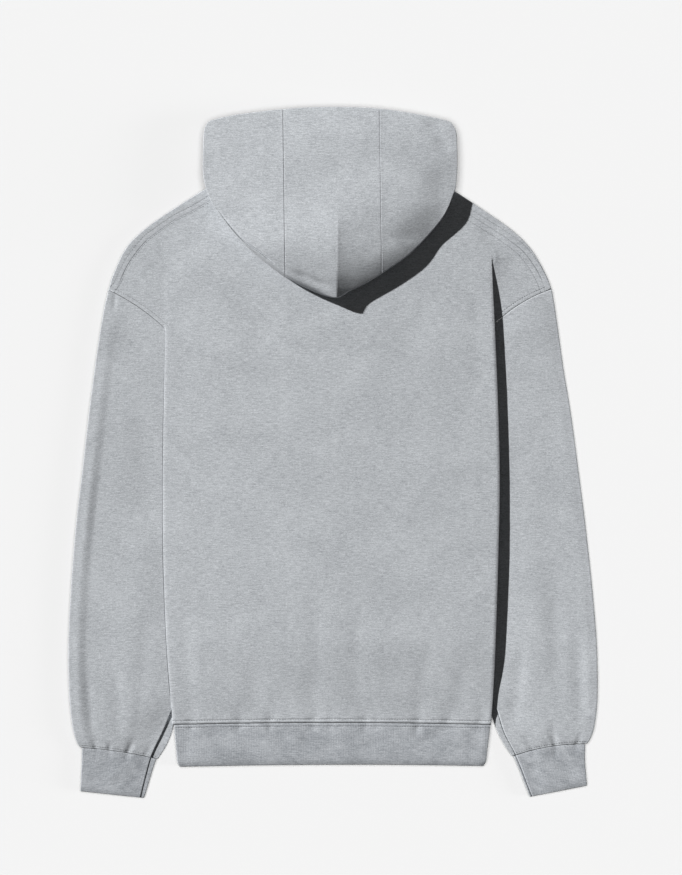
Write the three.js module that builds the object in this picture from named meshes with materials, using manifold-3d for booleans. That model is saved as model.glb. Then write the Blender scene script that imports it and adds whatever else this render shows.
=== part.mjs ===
// A pullover hoodie laid flat with its back upwards, in millimetres.
// X runs across the garment, Y from the waistband to the hood, and Z up from the surface it lies on.
// Every piece is cut cloth of a real thickness, sewn to its neighbour along a narrow seam gap.

import * as THREE from 'three';
import { mergeVertices } from 'three/addons/utils/BufferGeometryUtils.js';
import Module from 'manifold-3d';

const wasm = await Module();
wasm.setup();

// Driving dimensions

const middleX = -2.4; // the garment's centre line; the right sleeve lies a little further out than the left
const cloth = 2.5; // brushed fleece, and the doubled rib
const seamGap = 0.3; // between two pieces that are sewn together
const waistSeamY = -323; // where the torso is gathered into the waistband
const waistSeamDip = 2.4; // the seam's two ends lie lower than its middle by this much
const neckHalfWidth = 97; // from the centre line to where the shoulders meet the neck
const neckPointY = 342;
const backNeckY = 318; // lowest point of the neckline on the back
const frontNeckY = 256; // lowest point of the neckline on the front
const shoulderSeamIn = { left: 11, right: 8.5 }; // the front wraps over the shoulder by this much

const torsoMiddleHeight = 8.4; // front and back lie on each other in the middle
const torsoFoldHeight = 12.9; // at the side folds, which lie on the sleeves' inner edges
const torsoFoldOut = 200; // how far from the centre line the torso has that height
const sleeveHeight = 7;
const sleeveRoll = 2.75; // radius of a sleeve's folded edges
const foldRoll = 3.4; // radius of a pressed side fold
const tuckLift = 5.9; // how far the side folds are lifted by the sleeves under them
const tuckReach = 14; // how far a sleeve lies under the side fold
const backWrap = 17; // the back panel is folded under by this much, down to the side seam
const hoodRoll = 7.5; // radius of the hood's soft folded edge
const hoodRest = 0.6; // between the hood and the back that it lies on
const hoodFall = { start: 22, end: 38 }; // it falls between these distances beyond the shoulder's edge
const foldShare = 0.85; // the side fold's share of the torso's side, in its grid
const trim = 5; // cloth that is built beyond the armhole seam and then trimmed off at it
const below = -8; // cutters start this far under the surface
const above = 60; // and end this far over it

// Side folds of the torso, from below the waistband seam to above the armpit.
const sideFolds = [
  { y: -341, left: -191.6, right: 188.4 },
  { y: -323, left: -193.4, right: 189.4 },
  { y: -280, left: -197, right: 192.4 },
  { y: -224, left: -199.8, right: 195 },
  { y: -128, left: -203.4, right: 198 },
  { y: -32, left: -204, right: 199.8 },
  { y: 64, left: -202.8, right: 197.6 },
  { y: 149, left: -200.8, right: 194 },
  { y: 232, left: -200.4, right: 190.4 },
];

// The shoulders' outer edge from beyond the sleeve seam up to the neck.
const shoulderEdge = [
  { leftX: -273.8, leftY: 176, rightX: 266, rightY: 177 },
  { leftX: -268.6, leftY: 197, rightX: 261.2, rightY: 198 },
  { leftX: -262.7, leftY: 214.6, rightX: 254.3, rightY: 215 },
  { leftX: -247.7, leftY: 245.5, rightX: 238.5, rightY: 242.5 },
  { leftX: -223.6, leftY: 269.6, rightX: 215.5, rightY: 266 },
  { leftX: -182.4, leftY: 297.8, rightX: 178.3, rightY: 292.3 },
  { leftX: -140, leftY: 323.5, rightX: 137, rightY: 319 },
  { leftX: -99.4, leftY: 342, rightX: 94.6, rightY: 342 },
];

// The sleeve seams, each an arc from the shoulder's edge to the armpit, bowed towards the neck.
const armholes = {
  left: { tipX: -269, tipY: 195.6, pitX: -200.8, pitY: 149, bow: 3.4 },
  right: { tipX: 261.8, tipY: 196.6, pitX: 194, pitY: 155.6, bow: 4.4 },
};

// Sections of the sleeves from the armhole to the cuff: outer edge, inner edge, bow and height.
const sleeveSections = {
  left: [
    { outX: -269.3, outY: 195.2, inX: -202.6, inY: 149.1, bow: 3.4, height: 7 },
    { outX: -274.3, outY: 172, inX: -203.2, inY: 126, bow: 3, height: 7.1 },
    { outX: -280.3, outY: 136, inX: -198.5, inY: 98, bow: 2.2, height: 7.3 },
    { outX: -285.5, outY: 100, inX: -191.5, inY: 70, bow: 1.4, height: 7.5 },
    { outX: -292.8, outY: 44, inX: -190.5, inY: 24, bow: 0.6, height: 7.7 },
    { outX: -299.6, outY: -16, inX: -191, inY: -30, bow: 0, height: 7.9 },
    { outX: -307.2, outY: -80, inX: -191, inY: -90, bow: 0, height: 8.1 },
    { outX: -313.2, outY: -152, inX: -190.5, inY: -158, bow: 0, height: 8.4 },
    { outX: -316.6, outY: -216, inX: -188.8, inY: -220, bow: 0, height: 8.6 },
    { outX: -316.8, outY: -262, inX: -187.4, inY: -266, bow: 0, height: 8.6 },
    { outX: -315.2, outY: -300, inX: -191, inY: -302, bow: 0, height: 8.9 },
    { outX: -311.8, outY: -328, inX: -194.4, inY: -328, bow: 0, height: 8.6 },
    { outX: -307.4, outY: -345, inX: -200.5, inY: -349, bow: 1, height: 8.6 },
    { outX: -303.2, outY: -352.6, inX: -210, inY: -366.6, bow: 2, height: 7.6 },
  ],
  right: [
    { outX: 262.1, outY: 196.2, inX: 195.8, inY: 155.8, bow: 4.4, height: 7 },
    { outX: 266, outY: 172, inX: 196.8, inY: 130, bow: 4, height: 7.1 },
    { outX: 271.2, outY: 136, inX: 192, inY: 98, bow: 3, height: 7.3 },
    { outX: 276.6, outY: 98, inX: 185.5, inY: 68, bow: 1.8, height: 7.5 },
    { outX: 285.4, outY: 44, inX: 185.5, inY: 24, bow: 0.6, height: 7.7 },
    { outX: 293.4, outY: -16, inX: 187, inY: -30, bow: 0, height: 7.9 },
    { outX: 301.6, outY: -80, inX: 186.5, inY: -90, bow: 0, height: 8.1 },
    { outX: 309.6, outY: -152, inX: 185, inY: -158, bow: 0, height: 8.4 },
    { outX: 315.2, outY: -216, inX: 183.6, inY: -220, bow: 0, height: 8.6 },
    { outX: 316.9, outY: -258, inX: 182.8, inY: -262, bow: 0, height: 8.6 },
    { outX: 316.6, outY: -298, inX: 187, inY: -302, bow: 0, height: 9 },
    { outX: 313, outY: -328, inX: 194.4, inY: -327, bow: 0, height: 8.9 },
    { outX: 308.4, outY: -342, inX: 203.4, inY: -346.6, bow: 1, height: 8.7 },
    { outX: 304.6, outY: -348.2, inX: 214.6, inY: -363.4, bow: 4, height: 7.6 },
  ],
};

// Sections of the cuffs below the sleeve seam, down to the open end.
const cuffInset = 1.8; // the cuff is drawn in at the seam by this much on each side
const cuffSeamHeight = 7;
const cuffSections = {
  left: [
    { outX: -301, outY: -372, inX: -217.4, inY: -383, bow: 1, height: 7.4 },
    { outX: -302, outY: -390, inX: -222, inY: -399, bow: 0, height: 7.4 },
    { outX: -302.6, outY: -405.4, inX: -226.4, inY: -413.8, bow: 0, height: 7 },
  ],
  right: [
    { outX: 301.8, outY: -368, inX: 224, inY: -381, bow: 2, height: 7.4 },
    { outX: 303, outY: -384, inX: 230, inY: -397, bow: 0, height: 7.4 },
    { outX: 304.4, outY: -398.6, inX: 235.8, inY: -412.4, bow: 0, height: 7 },
  ],
};

// Sections of the waistband from the gathered seam to its folded hem.
const waistEndY = waistSeamY - waistSeamDip - seamGap;
const waistSections = [
  { outX: -190.4, outY: waistEndY, inX: 188.4, inY: waistEndY, bow: waistSeamDip, height: 7.4 },
  { outX: -188.6, outY: -340, inX: 186.6, inY: -340, bow: 0.8, height: 8.2 },
  { outX: -187.2, outY: -358, inX: 184.4, inY: -358, bow: 0, height: 8.2 },
  { outX: -185.8, outY: -375.2, inX: 182.4, inY: -375.6, bow: -1, height: 7.4 },
];

// The hood's outline: its upper fold, its sides, and the soft point that hangs over the back.
const hoodUpperEdge = [
  { x: -150.4, y: 394 }, { x: -145, y: 397.6 }, { x: -115, y: 404.4 }, { x: -53, y: 411.6 },
  { x: 2, y: 413.8 }, { x: 56, y: 411.6 }, { x: 103, y: 404.6 }, { x: 137, y: 397 }, { x: 143.2, y: 392.4 },
];
const hoodLeftEdge = [
  { x: -151.4, y: 314.6 }, { x: -155.4, y: 340 }, { x: -154.8, y: 380 }, { x: -150.4, y: 394 },
];
const hoodRightEdge = [
  { x: 146.4, y: 315.4 }, { x: 148.6, y: 342 }, { x: 147.8, y: 376 }, { x: 143.2, y: 392.4 },
];
const hoodLowerEdge = [
  { x: -151.4, y: 314.6 }, { x: -140.4, y: 291.6 }, { x: -109, y: 252 }, { x: -64, y: 214.4 },
  { x: -28, y: 195 }, { x: 2.4, y: 185 }, { x: 21, y: 193.6 }, { x: 42, y: 203.8 },
  { x: 72, y: 223 }, { x: 97, y: 242.4 }, { x: 131, y: 281 }, { x: 146.4, y: 315.4 },
];
const hoodSeams = {
  left: { topX: -60, bottomX: -56.4 },
  right: { topX: 55.2, bottomX: 58.8 },
};
const hoodSeamEnds = { topY: 430, bottomY: 170 }; // where the seams' topX and bottomX are measured
const hoodHeights = { point: 25, crown: 28, upperFold: 19, sideDrop: 6 };
const hoodHeightsAt = { point: 190, crown: 300, crownEnd: 310, upperFold: 408, side: 155 };
const faceOpening = { topY: 388, halfWidth: 56, widestY: 340 };

// The soft fold that runs up from the hood's point.
// It falls to nothing on the right and to a share on the left.
const hoodKeel = { x: 6, height: 6, rightX: 82, leftX: -110, leftShare: 0.4 };
const hoodKeelRun = { startY: 188, fullFromY: 225, fullToY: 240, endY: 320 };

// The torso's form above the waistband: it settles, swells and is then drawn into the seam.
const waistSettle = { depth: 0.5, fromY: -230 };
const waistSwell = { height: 1.2, aboveSeam: 26, width: 16 };
const waistDraw = { depth: 1.2, width: 8 };

// The step above each armpit, sharp at the fold and soft at the shoulder blade.
const step = { sharpY: 165, softY: 290, sharpWidth: 6, softWidth: 95, sharpStart: -5, softStart: -45 };
const foldFade = { fromY: 220, toY: 310 }; // between these the side fold sinks to the shoulder's height

// How far in from a side fold the front panel comes back to the surface, and how far near the waistband.
const liftReach = 130;
const waistReach = 50;
const waistReachFrom = { fromY: -180, toY: -290 };
const waistLift = { share: 0.7, fromY: -285 };

// The soft gathers above the waistband seam: place, depth, half width and how far up each one runs.
const waistGathers = [
  { x: -150, depth: 0.8, width: 13, reach: 60 },
  { x: -92, depth: 1.5, width: 12, reach: 90 },
  { x: -56, depth: 1, width: 9, reach: 50 },
  { x: -12, depth: 1.2, width: 14, reach: 120 },
  { x: 40, depth: 0.9, width: 11, reach: 100 },
  { x: 104, depth: 1.7, width: 13, reach: 60 },
  { x: 150, depth: 0.9, width: 12, reach: 50 },
];

// The gathers above each cuff, placed by their share of the way from the outer to the inner edge.
const cuffGathers = {
  left: [
    { across: 0.22, depth: 1, width: 0.07, reach: 60 },
    { across: 0.45, depth: 1.2, width: 0.08, reach: 45 },
    { across: 0.7, depth: 0.9, width: 0.07, reach: 55 },
  ],
  right: [
    { across: 0.14, depth: 1.1, width: 0.06, reach: 80 },
    { across: 0.42, depth: 2, width: 0.07, reach: 120 },
    { across: 0.74, depth: 1.1, width: 0.07, reach: 60 },
  ],
};

// Shared curves and small functions

const mix = (a, b, t) => a + (b - a) * t;
const clamp01 = (t) => Math.min(1, Math.max(0, t));
const smooth = (from, to, value) => {
  const t = clamp01((value - from) / (to - from));
  return t * t * (3 - 2 * t);
};
const bump = (offset, width) => Math.exp(-((offset / width) ** 2));
const curveThrough = (rows) => new THREE.SplineCurve(rows.map((row) => new THREE.Vector2(row.x, row.y)));
const sideRows = (side) => shoulderEdge.map((row) => ({ x: row[side + 'X'], y: row[side + 'Y'] }));
const shoulderCurves = { left: curveThrough(sideRows('left')), right: curveThrough(sideRows('right')) };

// X of a side fold at height y, from the two rows on either side of it.
function foldX(side, y) {
  const above = sideFolds.findIndex((row) => row.y >= y);
  if (above === 0) return sideFolds[0][side];
  if (above < 0) return sideFolds[sideFolds.length - 1][side];
  const [a, b] = [sideFolds[above - 1], sideFolds[above]];
  return mix(a[side], b[side], (y - a.y) / (b.y - a.y));
}

// A point on the armhole seam: t is 0 at the shoulder's edge and 1 at the armpit.
function armholePoint(side, t) {
  const { tipX, tipY, pitX, pitY, bow } = armholes[side];
  const run = new THREE.Vector2(pitX - tipX, pitY - tipY);
  const up = new THREE.Vector2(-run.y, run.x).normalize();
  if (up.y < 0) up.negate();
  return new THREE.Vector2(tipX, tipY).addScaledVector(run, t).addScaledVector(up, bow * 4 * t * (1 - t));
}

// The neckline between the two neck points, dipping to lowY in the middle.
function necklineY(x, lowY) {
  const out = clamp01(Math.abs(x - middleX) / neckHalfWidth);
  return mix(lowY, neckPointY, out ** 2.2);
}

// Heights of the garment's upper and lower side, without the rounding at its edges

function torsoTop(x, y) {
  const out = clamp01(Math.abs(x - middleX) / torsoFoldOut);
  const foldHeight = mix(torsoFoldHeight, torsoMiddleHeight, smooth(foldFade.fromY, foldFade.toY, y));
  const up = y - waistSeamY;
  let height = mix(torsoMiddleHeight, foldHeight, out ** 2);
  height -= waistSettle.depth * smooth(waistSettle.fromY, waistSeamY, y);
  height += waistSwell.height * bump(up - waistSwell.aboveSeam, waistSwell.width);
  height -= waistDraw.depth * bump(up, waistDraw.width);
  for (const fold of waistGathers) {
    height -= fold.depth * bump(x - fold.x, fold.width) * smooth(fold.reach, 0, up);
  }
  return height;
}

// The torso stands above the yoke by a step at the armpit, which fades into a slope at the shoulder blade.
function torsoStep(x, y) {
  const side = x < middleX ? 'left' : 'right';
  const inside = side === 'left' ? x - foldX(side, y) : foldX(side, y) - x;
  const sharp = smooth(step.softY, step.sharpY, y);
  const width = mix(step.softWidth, step.sharpWidth, sharp);
  const start = mix(step.softStart, step.sharpStart, sharp);
  return { inside, rise: smooth(start, start + width, inside) };
}

function bodyTop(x, y) {
  return mix(sleeveHeight, torsoTop(x, y), torsoStep(x, y).rise);
}

function bodyBottom(x, y) {
  const { inside, rise } = torsoStep(x, y);
  const nearWaist = smooth(waistLift.fromY, waistSeamY, y);
  const lift = tuckLift * mix(1, waistLift.share, nearWaist) * smooth(foldFade.toY, foldFade.fromY, y);
  const reach = mix(liftReach, waistReach, smooth(waistReachFrom.fromY, waistReachFrom.toY, y));
  return lift * rise * smooth(reach, tuckReach, inside);
}

// Y of the shoulder's edge at x, carried on over the neck.
function shoulderY(x) {
  const overNeck = neckPointY + 4;
  const rows = sideRows(x < middleX ? 'left' : 'right');
  const out = Math.abs(x);
  const next = rows.findIndex((row) => Math.abs(row.x) <= out);
  if (next < 0) return overNeck;
  if (next === 0) return rows[0].y;
  const [a, b] = [rows[next - 1], rows[next]];
  return mix(a.y, b.y, (Math.abs(a.x) - out) / (Math.abs(a.x) - Math.abs(b.x)));
}

function hoodTop(x, y) {
  const { point, crown, upperFold, sideDrop } = hoodHeights;
  const at = hoodHeightsAt;
  const towardsPoint = mix(point, crown, smooth(at.point, at.crown, y));
  const along = y > at.crown ? mix(crown, upperFold, smooth(at.crownEnd, at.upperFold, y)) : towardsPoint;
  const out = Math.abs(x - middleX) / at.side;
  const onLeft = mix(hoodKeel.leftShare, 1, smooth(hoodKeel.leftX, hoodKeel.x, x));
  const ridge = x > hoodKeel.x ? smooth(hoodKeel.rightX, hoodKeel.x, x) : onLeft;
  const { startY, fullFromY, fullToY, endY } = hoodKeelRun;
  const keel = hoodKeel.height * ridge * smooth(startY, fullFromY, y) * smooth(endY, fullToY, y);
  return along - sideDrop * out ** 2 + keel;
}

// The hood's under layer lies on the back, and comes down to the surface beyond the shoulders.
function hoodBottom(x, y) {
  const over = smooth(shoulderY(x) + hoodFall.end, shoulderY(x) + hoodFall.start, y);
  return over * (bodyTop(x, y) + hoodRest);
}

// Building solids

const solidOf = (geometry) => {
  const plain = geometry.index ? geometry.toNonIndexed() : geometry.clone();
  plain.deleteAttribute('normal');
  plain.deleteAttribute('uv');
  const merged = mergeVertices(plain, 1e-4);
  return new wasm.Manifold(
    new wasm.Mesh({
      numProp: 3,
      vertProperties: merged.attributes.position.array,
      triVerts: new Uint32Array(merged.index.array),
    }),
  );
};

function geometryOf(points, triangles) {
  const geometry = new THREE.BufferGeometry();
  const position = new Float32Array(points.flatMap((p) => [p.x, p.y, p.z]));
  geometry.setAttribute('position', new THREE.BufferAttribute(position, 3));
  geometry.setIndex(triangles);
  return geometry;
}

// A straight-sided cutter of the given outline between two heights.
function prism(outline, low, high) {
  const settings = { depth: high - low, bevelEnabled: false };
  const geometry = new THREE.ExtrudeGeometry(new THREE.Shape(outline), settings);
  return solidOf(geometry.translate(0, 0, low));
}

// A patch of plan points between four edge curves, at the given shares of the way across and along.
function patch(lower, upper, left, right, across, along) {
  const [lowerLeft, lowerRight] = [lower.getPoint(0), lower.getPoint(1)];
  const [upperLeft, upperRight] = [upper.getPoint(0), upper.getPoint(1)];
  return along.map((v) =>
    across.map((u) => {
      const point = new THREE.Vector2();
      point.addScaledVector(lower.getPointAt(u), 1 - v).addScaledVector(upper.getPointAt(u), v);
      point.addScaledVector(left.getPointAt(v), 1 - u).addScaledVector(right.getPointAt(v), u);
      point.addScaledVector(lowerLeft, -(1 - u) * (1 - v)).addScaledVector(lowerRight, -u * (1 - v));
      return point.addScaledVector(upperLeft, -(1 - u) * v).addScaledVector(upperRight, -u * v);
    }),
  );
}

// How far a plan point lies from the nearest of the rounded edges, each a list of points.
function edgeDistance(point, edges) {
  const line = new THREE.Line3();
  const nearest = new THREE.Vector3();
  const from = new THREE.Vector3(point.x, point.y, 0);
  let least = Infinity;
  for (const edge of edges) {
    for (let i = 1; i < edge.length; i++) {
      line.start.set(edge[i - 1].x, edge[i - 1].y, 0);
      line.end.set(edge[i].x, edge[i].y, 0);
      line.closestPointToPoint(from, true, nearest);
      least = Math.min(least, nearest.distanceTo(from));
    }
  }
  return least;
}

// The quarter-round that closes an upper and a lower sheet: 0 on the edge and 1 from one radius inwards.
const roundOff = (distance, radius) => Math.sqrt(1 - (1 - clamp01(distance / radius)) ** 2);

// Vertex normals of a closed mesh, for moving its surface inwards by the cloth's thickness.
function movedInwards(points, triangles, thickness) {
  const geometry = geometryOf(points, triangles);
  geometry.computeVertexNormals();
  const normal = geometry.attributes.normal;
  return points.map((p, i) =>
    new THREE.Vector3(normal.getX(i), normal.getY(i), normal.getZ(i)).multiplyScalar(-thickness).add(p),
  );
}

// A closed surface over a patch: an upper and a lower sheet that share their rim.
// heights gives both of a plan point's heights.
function closedSheet(plan, heights) {
  const rows = plan.length;
  const columns = plan[0].length;
  const points = [];
  const upper = plan.map(() => []);
  const lower = plan.map(() => []);
  plan.forEach((row, j) =>
    row.forEach((p, i) => {
      const onRim = i === 0 || j === 0 || i === columns - 1 || j === rows - 1;
      const [high, low] = heights(p, onRim);
      upper[j][i] = points.push(new THREE.Vector3(p.x, p.y, high)) - 1;
      lower[j][i] = onRim ? upper[j][i] : points.push(new THREE.Vector3(p.x, p.y, low)) - 1;
    }),
  );
  const triangles = [];
  const quad = (a, b, c, d) => triangles.push(a, b, c, a, c, d);
  for (let j = 1; j < rows; j++) {
    for (let i = 1; i < columns; i++) {
      quad(upper[j - 1][i - 1], upper[j - 1][i], upper[j][i], upper[j][i - 1]);
      quad(lower[j][i - 1], lower[j][i], lower[j - 1][i], lower[j - 1][i - 1]);
    }
  }
  return { points, triangles };
}

// Two sheets of cloth over the same patch, joined by a rounded fold at their rim and hollow inside.
function hollowSheet(plan, top, bottom, radius, roundedEdges) {
  const { points, triangles } = closedSheet(plan, (p, onRim) => {
    const [high, low] = [top(p.x, p.y), bottom(p.x, p.y)];
    const middle = Math.min(low + radius, (high + low) / 2);
    const share = onRim ? 0 : roundOff(edgeDistance(p, roundedEdges), radius);
    return [mix(middle, high, share), mix(middle, low, share)];
  });
  const outer = solidOf(geometryOf(points, triangles));
  const inner = solidOf(geometryOf(movedInwards(points, triangles, cloth), triangles));
  return outer.subtract(inner);
}

// Everything under the surface midway between two sheets, raised by lift.
// It is spread a little past their rim.
function underMiddle(plan, top, bottom, lift) {
  const rimSpread = 1.04;
  const spread = plan.map((row, j) =>
    row.map((p, i) => {
      const onRim = i === 0 || j === 0 || i === row.length - 1 || j === plan.length - 1;
      const scale = onRim ? rimSpread : 1;
      const height = (top(p.x, p.y) + bottom(p.x, p.y)) / 2 + lift;
      return { x: middleX + (p.x - middleX) * scale, y: p.y * scale, height };
    }),
  );
  const { points, triangles } = closedSheet(spread, (p) => [p.height, below]);
  return solidOf(geometryOf(points, triangles));
}

// A flattened tube through a table of sections, open at both ends.
function flatTube(sections, ringShares, radius, heightAt) {
  const ahead = [];
  const rows = sections.map((section) => {
    const outer = new THREE.Vector2(section.outX, section.outY);
    const inner = new THREE.Vector2(section.inX, section.inY);
    const run = inner.clone().sub(outer);
    const length = run.length();
    const up = new THREE.Vector2(-run.y, run.x).normalize();
    if (up.y < 0) up.negate();
    ahead.push(new THREE.Vector3(up.x, up.y, 0));
    const at = (share, side) => {
      const place = outer.clone().addScaledVector(run, share);
      place.addScaledVector(up, section.bow * 4 * share * (1 - share));
      const distance = Math.min(share, 1 - share) * length;
      const high = heightAt(section, share, place);
      const middle = Math.min(radius, high / 2);
      const round = roundOff(distance, radius);
      return new THREE.Vector3(place.x, place.y, mix(middle, side > 0 ? high : 0, round));
    };
    const over = ringShares.map((share) => at(share, 1));
    const under = ringShares.slice(1, -1).reverse().map((share) => at(share, -1));
    return [...over, ...under];
  });
  const count = rows[0].length;
  const ring = rows.flat();
  const facesOut = sections[0].outX < sections[0].inX; // otherwise every triangle is turned round
  const skin = [];
  for (let j = 1; j < rows.length; j++) {
    for (let i = 0; i < count; i++) {
      const next = (i + 1) % count;
      const [a, b] = [(j - 1) * count + i, (j - 1) * count + next];
      const [c, d] = [j * count + next, j * count + i];
      if (facesOut) skin.push(a, c, b, a, d, c);
      else skin.push(a, b, c, a, c, d);
    }
  }
  const inside = movedInwards(ring, skin, cloth);
  for (const row of [0, rows.length - 1]) {
    for (let i = row * count; i < (row + 1) * count; i++) {
      const along = inside[i].clone().sub(ring[i]).dot(ahead[row]);
      inside[i].addScaledVector(ahead[row], -along);
    }
  }
  const total = ring.length;
  const triangles = [...skin];
  for (let i = 0; i < skin.length; i += 3) {
    triangles.push(skin[i] + total, skin[i + 2] + total, skin[i + 1] + total);
  }
  const rim = (row, forwards) => {
    for (let i = 0; i < count; i++) {
      const [a, b] = [row * count + i, row * count + ((i + 1) % count)];
      if (forwards === facesOut) triangles.push(a, b, b + total, a, b + total, a + total);
      else triangles.push(a, b + total, b, a, a + total, b + total);
    }
  };
  rim(0, true);
  rim(rows.length - 1, false);
  return solidOf(geometryOf([...ring, ...inside], triangles));
}

// Shares of a length whose first and last steps are the given distances from its ends.
function sharesFor(length, ends, steps) {
  const near = ends.map((distance) => distance / length);
  const start = near[near.length - 1];
  const between = Array.from({ length: steps - 1 }, (_, i) => mix(start, 1 - start, (i + 1) / steps));
  return [0, ...near, ...between, ...near.map((share) => 1 - share).reverse(), 1];
}

// The torso: one hollow sheet, cut into front and back

const samples = (curve, from, to, count) =>
  Array.from({ length: count + 1 }, (_, i) => curve.getPointAt(mix(from, to, i / count)));

// One side of the torso's plan: up the side fold to its corner, then just outside the armhole seam.
// What lies outside the seam is trimmed off later.
function torsoSide(name) {
  const { tipX, tipY, pitX, pitY } = armholes[name];
  const length = Math.hypot(pitX - tipX, pitY - tipY);
  const drop = (trim * length) / Math.abs(pitX - tipX);
  const corner = new THREE.Vector2(foldX(name, pitY - drop), pitY - drop);
  const beyond = new THREE.Vector2(shoulderEdge[0][name + 'X'], shoulderEdge[0][name + 'Y']);
  const path = new THREE.Curve();
  path.getPoint = (v) => {
    if (v > foldShare) return corner.clone().lerp(beyond, (v - foldShare) / (1 - foldShare));
    const y = mix(sideFolds[0].y, corner.y, v / foldShare);
    return new THREE.Vector2(foldX(name, y), y);
  };
  path.getPointAt = path.getPoint;
  return path;
}

function torsoPlan() {
  const overNeck = [
    { x: -60, y: neckPointY + 10 },
    { x: middleX, y: neckPointY + 13 },
    { x: 56, y: neckPointY + 10 },
  ];
  const upper = curveThrough([...sideRows('left'), ...overNeck, ...sideRows('right').reverse()]);
  const bottomRow = sideFolds[0];
  const lower = curveThrough([
    { x: bottomRow.left, y: bottomRow.y },
    { x: middleX, y: bottomRow.y },
    { x: bottomRow.right, y: bottomRow.y },
  ]);
  const across = sharesFor(400, [1, foldRoll, 9, 20], 18);
  const along = [0, 0.03, 0.06, 0.1, 0.16, 0.24, 0.34, 0.44, 0.54, 0.64, 0.72, 0.77, 0.81, foldShare];
  for (const share of [0.875, 0.9, 0.925, 0.95, 0.97, 0.985, 0.9935, 0.9985, 1]) along.push(share);
  return patch(lower, upper, torsoSide('left'), torsoSide('right'), across, along);
}

// The strip of the back panel that is folded under along one side, down to the side seam.
function wrapStrip(name, grow) {
  const sign = name === 'left' ? -1 : 1;
  const endY = armholes[name].pitY - 30;
  const between = sideFolds.map((row) => row.y).filter((y) => y > waistSeamY && y < endY);
  const rows = [waistSeamY - 10, ...between, endY];
  const seam = rows.map((y) => new THREE.Vector2(foldX(name, y) - sign * (backWrap + grow), y));
  seam[seam.length - 1].y += grow;
  const points = [...seam, new THREE.Vector2(foldX(name, endY) + sign * 20, endY + grow)];
  points.push(new THREE.Vector2(foldX(name, waistSeamY) + sign * 20, waistSeamY - 10));
  return prism(sign < 0 ? points : points.reverse(), below - 1, torsoFoldHeight - 0.9);
}

// The back's outline in plan: hem, side folds, armholes, shoulder seams and neckline.
function backOutline(grow) {
  const half = (name) => {
    const sign = name === 'left' ? -1 : 1;
    const fold = sideFolds.filter((row) => row.y > waistSeamY && row.y < armholes[name].pitY);
    const points = [new THREE.Vector2(foldX(name, waistSeamY) + sign * 2, waistSeamY + seamGap)];
    fold.forEach((row) => points.push(new THREE.Vector2(row[name] + sign * 2, row.y)));
    for (let t = 1; t >= 0; t -= 0.2) points.push(armholePoint(name, t).add(new THREE.Vector2(0, seamGap)));
    const seam = samples(shoulderCurves[name], 0.1, 1, 14).map((p, i, all) => {
      const ahead = all[Math.min(i + 1, all.length - 1)];
      const behind = all[Math.max(i - 1, 0)];
      const inward = new THREE.Vector2(ahead.y - behind.y, behind.x - ahead.x).normalize();
      if (sign > 0) inward.negate();
      return p.clone().addScaledVector(inward, shoulderSeamIn[name] - grow);
    });
    const { tipX } = armholes[name];
    points.push(...seam.filter((p) => p.y > armholePoint(name, 0).y && Math.abs(p.x) < Math.abs(tipX) - 2));
    return points;
  };
  const neck = [];
  for (let x = -neckHalfWidth + 3; x <= neckHalfWidth - 3; x += 9.4) {
    neck.push(new THREE.Vector2(middleX + x, necklineY(middleX + x, backNeckY)));
  }
  return [...half('left'), ...neck, ...half('right').reverse()];
}

// What is cut away between a neckline and the hood.
function neckHole(lowY, low, high) {
  const points = [];
  for (let i = 0; i <= 16; i++) {
    const x = middleX + mix(-neckHalfWidth, neckHalfWidth, i / 16);
    points.push(new THREE.Vector2(x, necklineY(x, lowY)));
  }
  const reach = neckPointY + 40;
  points.push(new THREE.Vector2(middleX + neckHalfWidth, reach));
  points.push(new THREE.Vector2(middleX - neckHalfWidth, reach));
  return prism(points, low, high);
}

// Everything beyond one armhole seam, on the sleeve's side of it.
function sleeveSide(name) {
  const sign = name === 'left' ? -1 : 1;
  const seam = [];
  for (let t = -0.2; t < 1.01; t += 0.2) {
    seam.push(armholePoint(name, clamp01(t)).add(new THREE.Vector2(t < 0 ? sign * 12 : 0, t < 0 ? 4 : 0)));
  }
  const { pitX, pitY } = armholes[name];
  for (const y of [pitY - 1, pitY - 20, pitY - 40]) {
    seam.push(new THREE.Vector2(foldX(name, y) + sign * 0.8, y));
  }
  seam.push(new THREE.Vector2(pitX + sign * 120, pitY - 40));
  return prism(sign < 0 ? seam : seam.reverse(), below, above);
}

function bodyPanels() {
  const plan = torsoPlan();
  const rounded = ['left', 'right'].flatMap((name) => [
    samples(torsoSide(name), 0, foldShare, 60),
    samples(shoulderCurves[name], 0, 1, 40),
  ]);
  const waistSeam = [-1.2, -0.8, -0.4, 0, 0.4, 0.8, 1.2].map(
    (out) => new THREE.Vector2(middleX + 190 * out, waistSeamY - waistSeamDip * out ** 2),
  );
  const under = [new THREE.Vector2(-230, -400), new THREE.Vector2(230, -400)];
  const waistCut = prism([...under, ...waistSeam.reverse()], below, above);
  let shell = hollowSheet(plan, bodyTop, bodyBottom, foldRoll, rounded).subtract(waistCut);
  for (const name of ['left', 'right']) shell = shell.subtract(sleeveSide(name));
  const backRegion = (grow) =>
    prism(backOutline(grow), below + 1, above)
      .subtract(underMiddle(plan, bodyTop, bodyBottom, seamGap / 2 - grow))
      .add(wrapStrip('left', grow))
      .add(wrapStrip('right', grow));
  const back = shell.intersect(backRegion(0));
  const front = shell
    .subtract(backRegion(seamGap))
    .subtract(neckHole(backNeckY - seamGap, torsoMiddleHeight / 2, above))
    .subtract(neckHole(frontNeckY, below, torsoMiddleHeight / 2));
  return { back, front };
}

// The sleeves and cuffs

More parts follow.
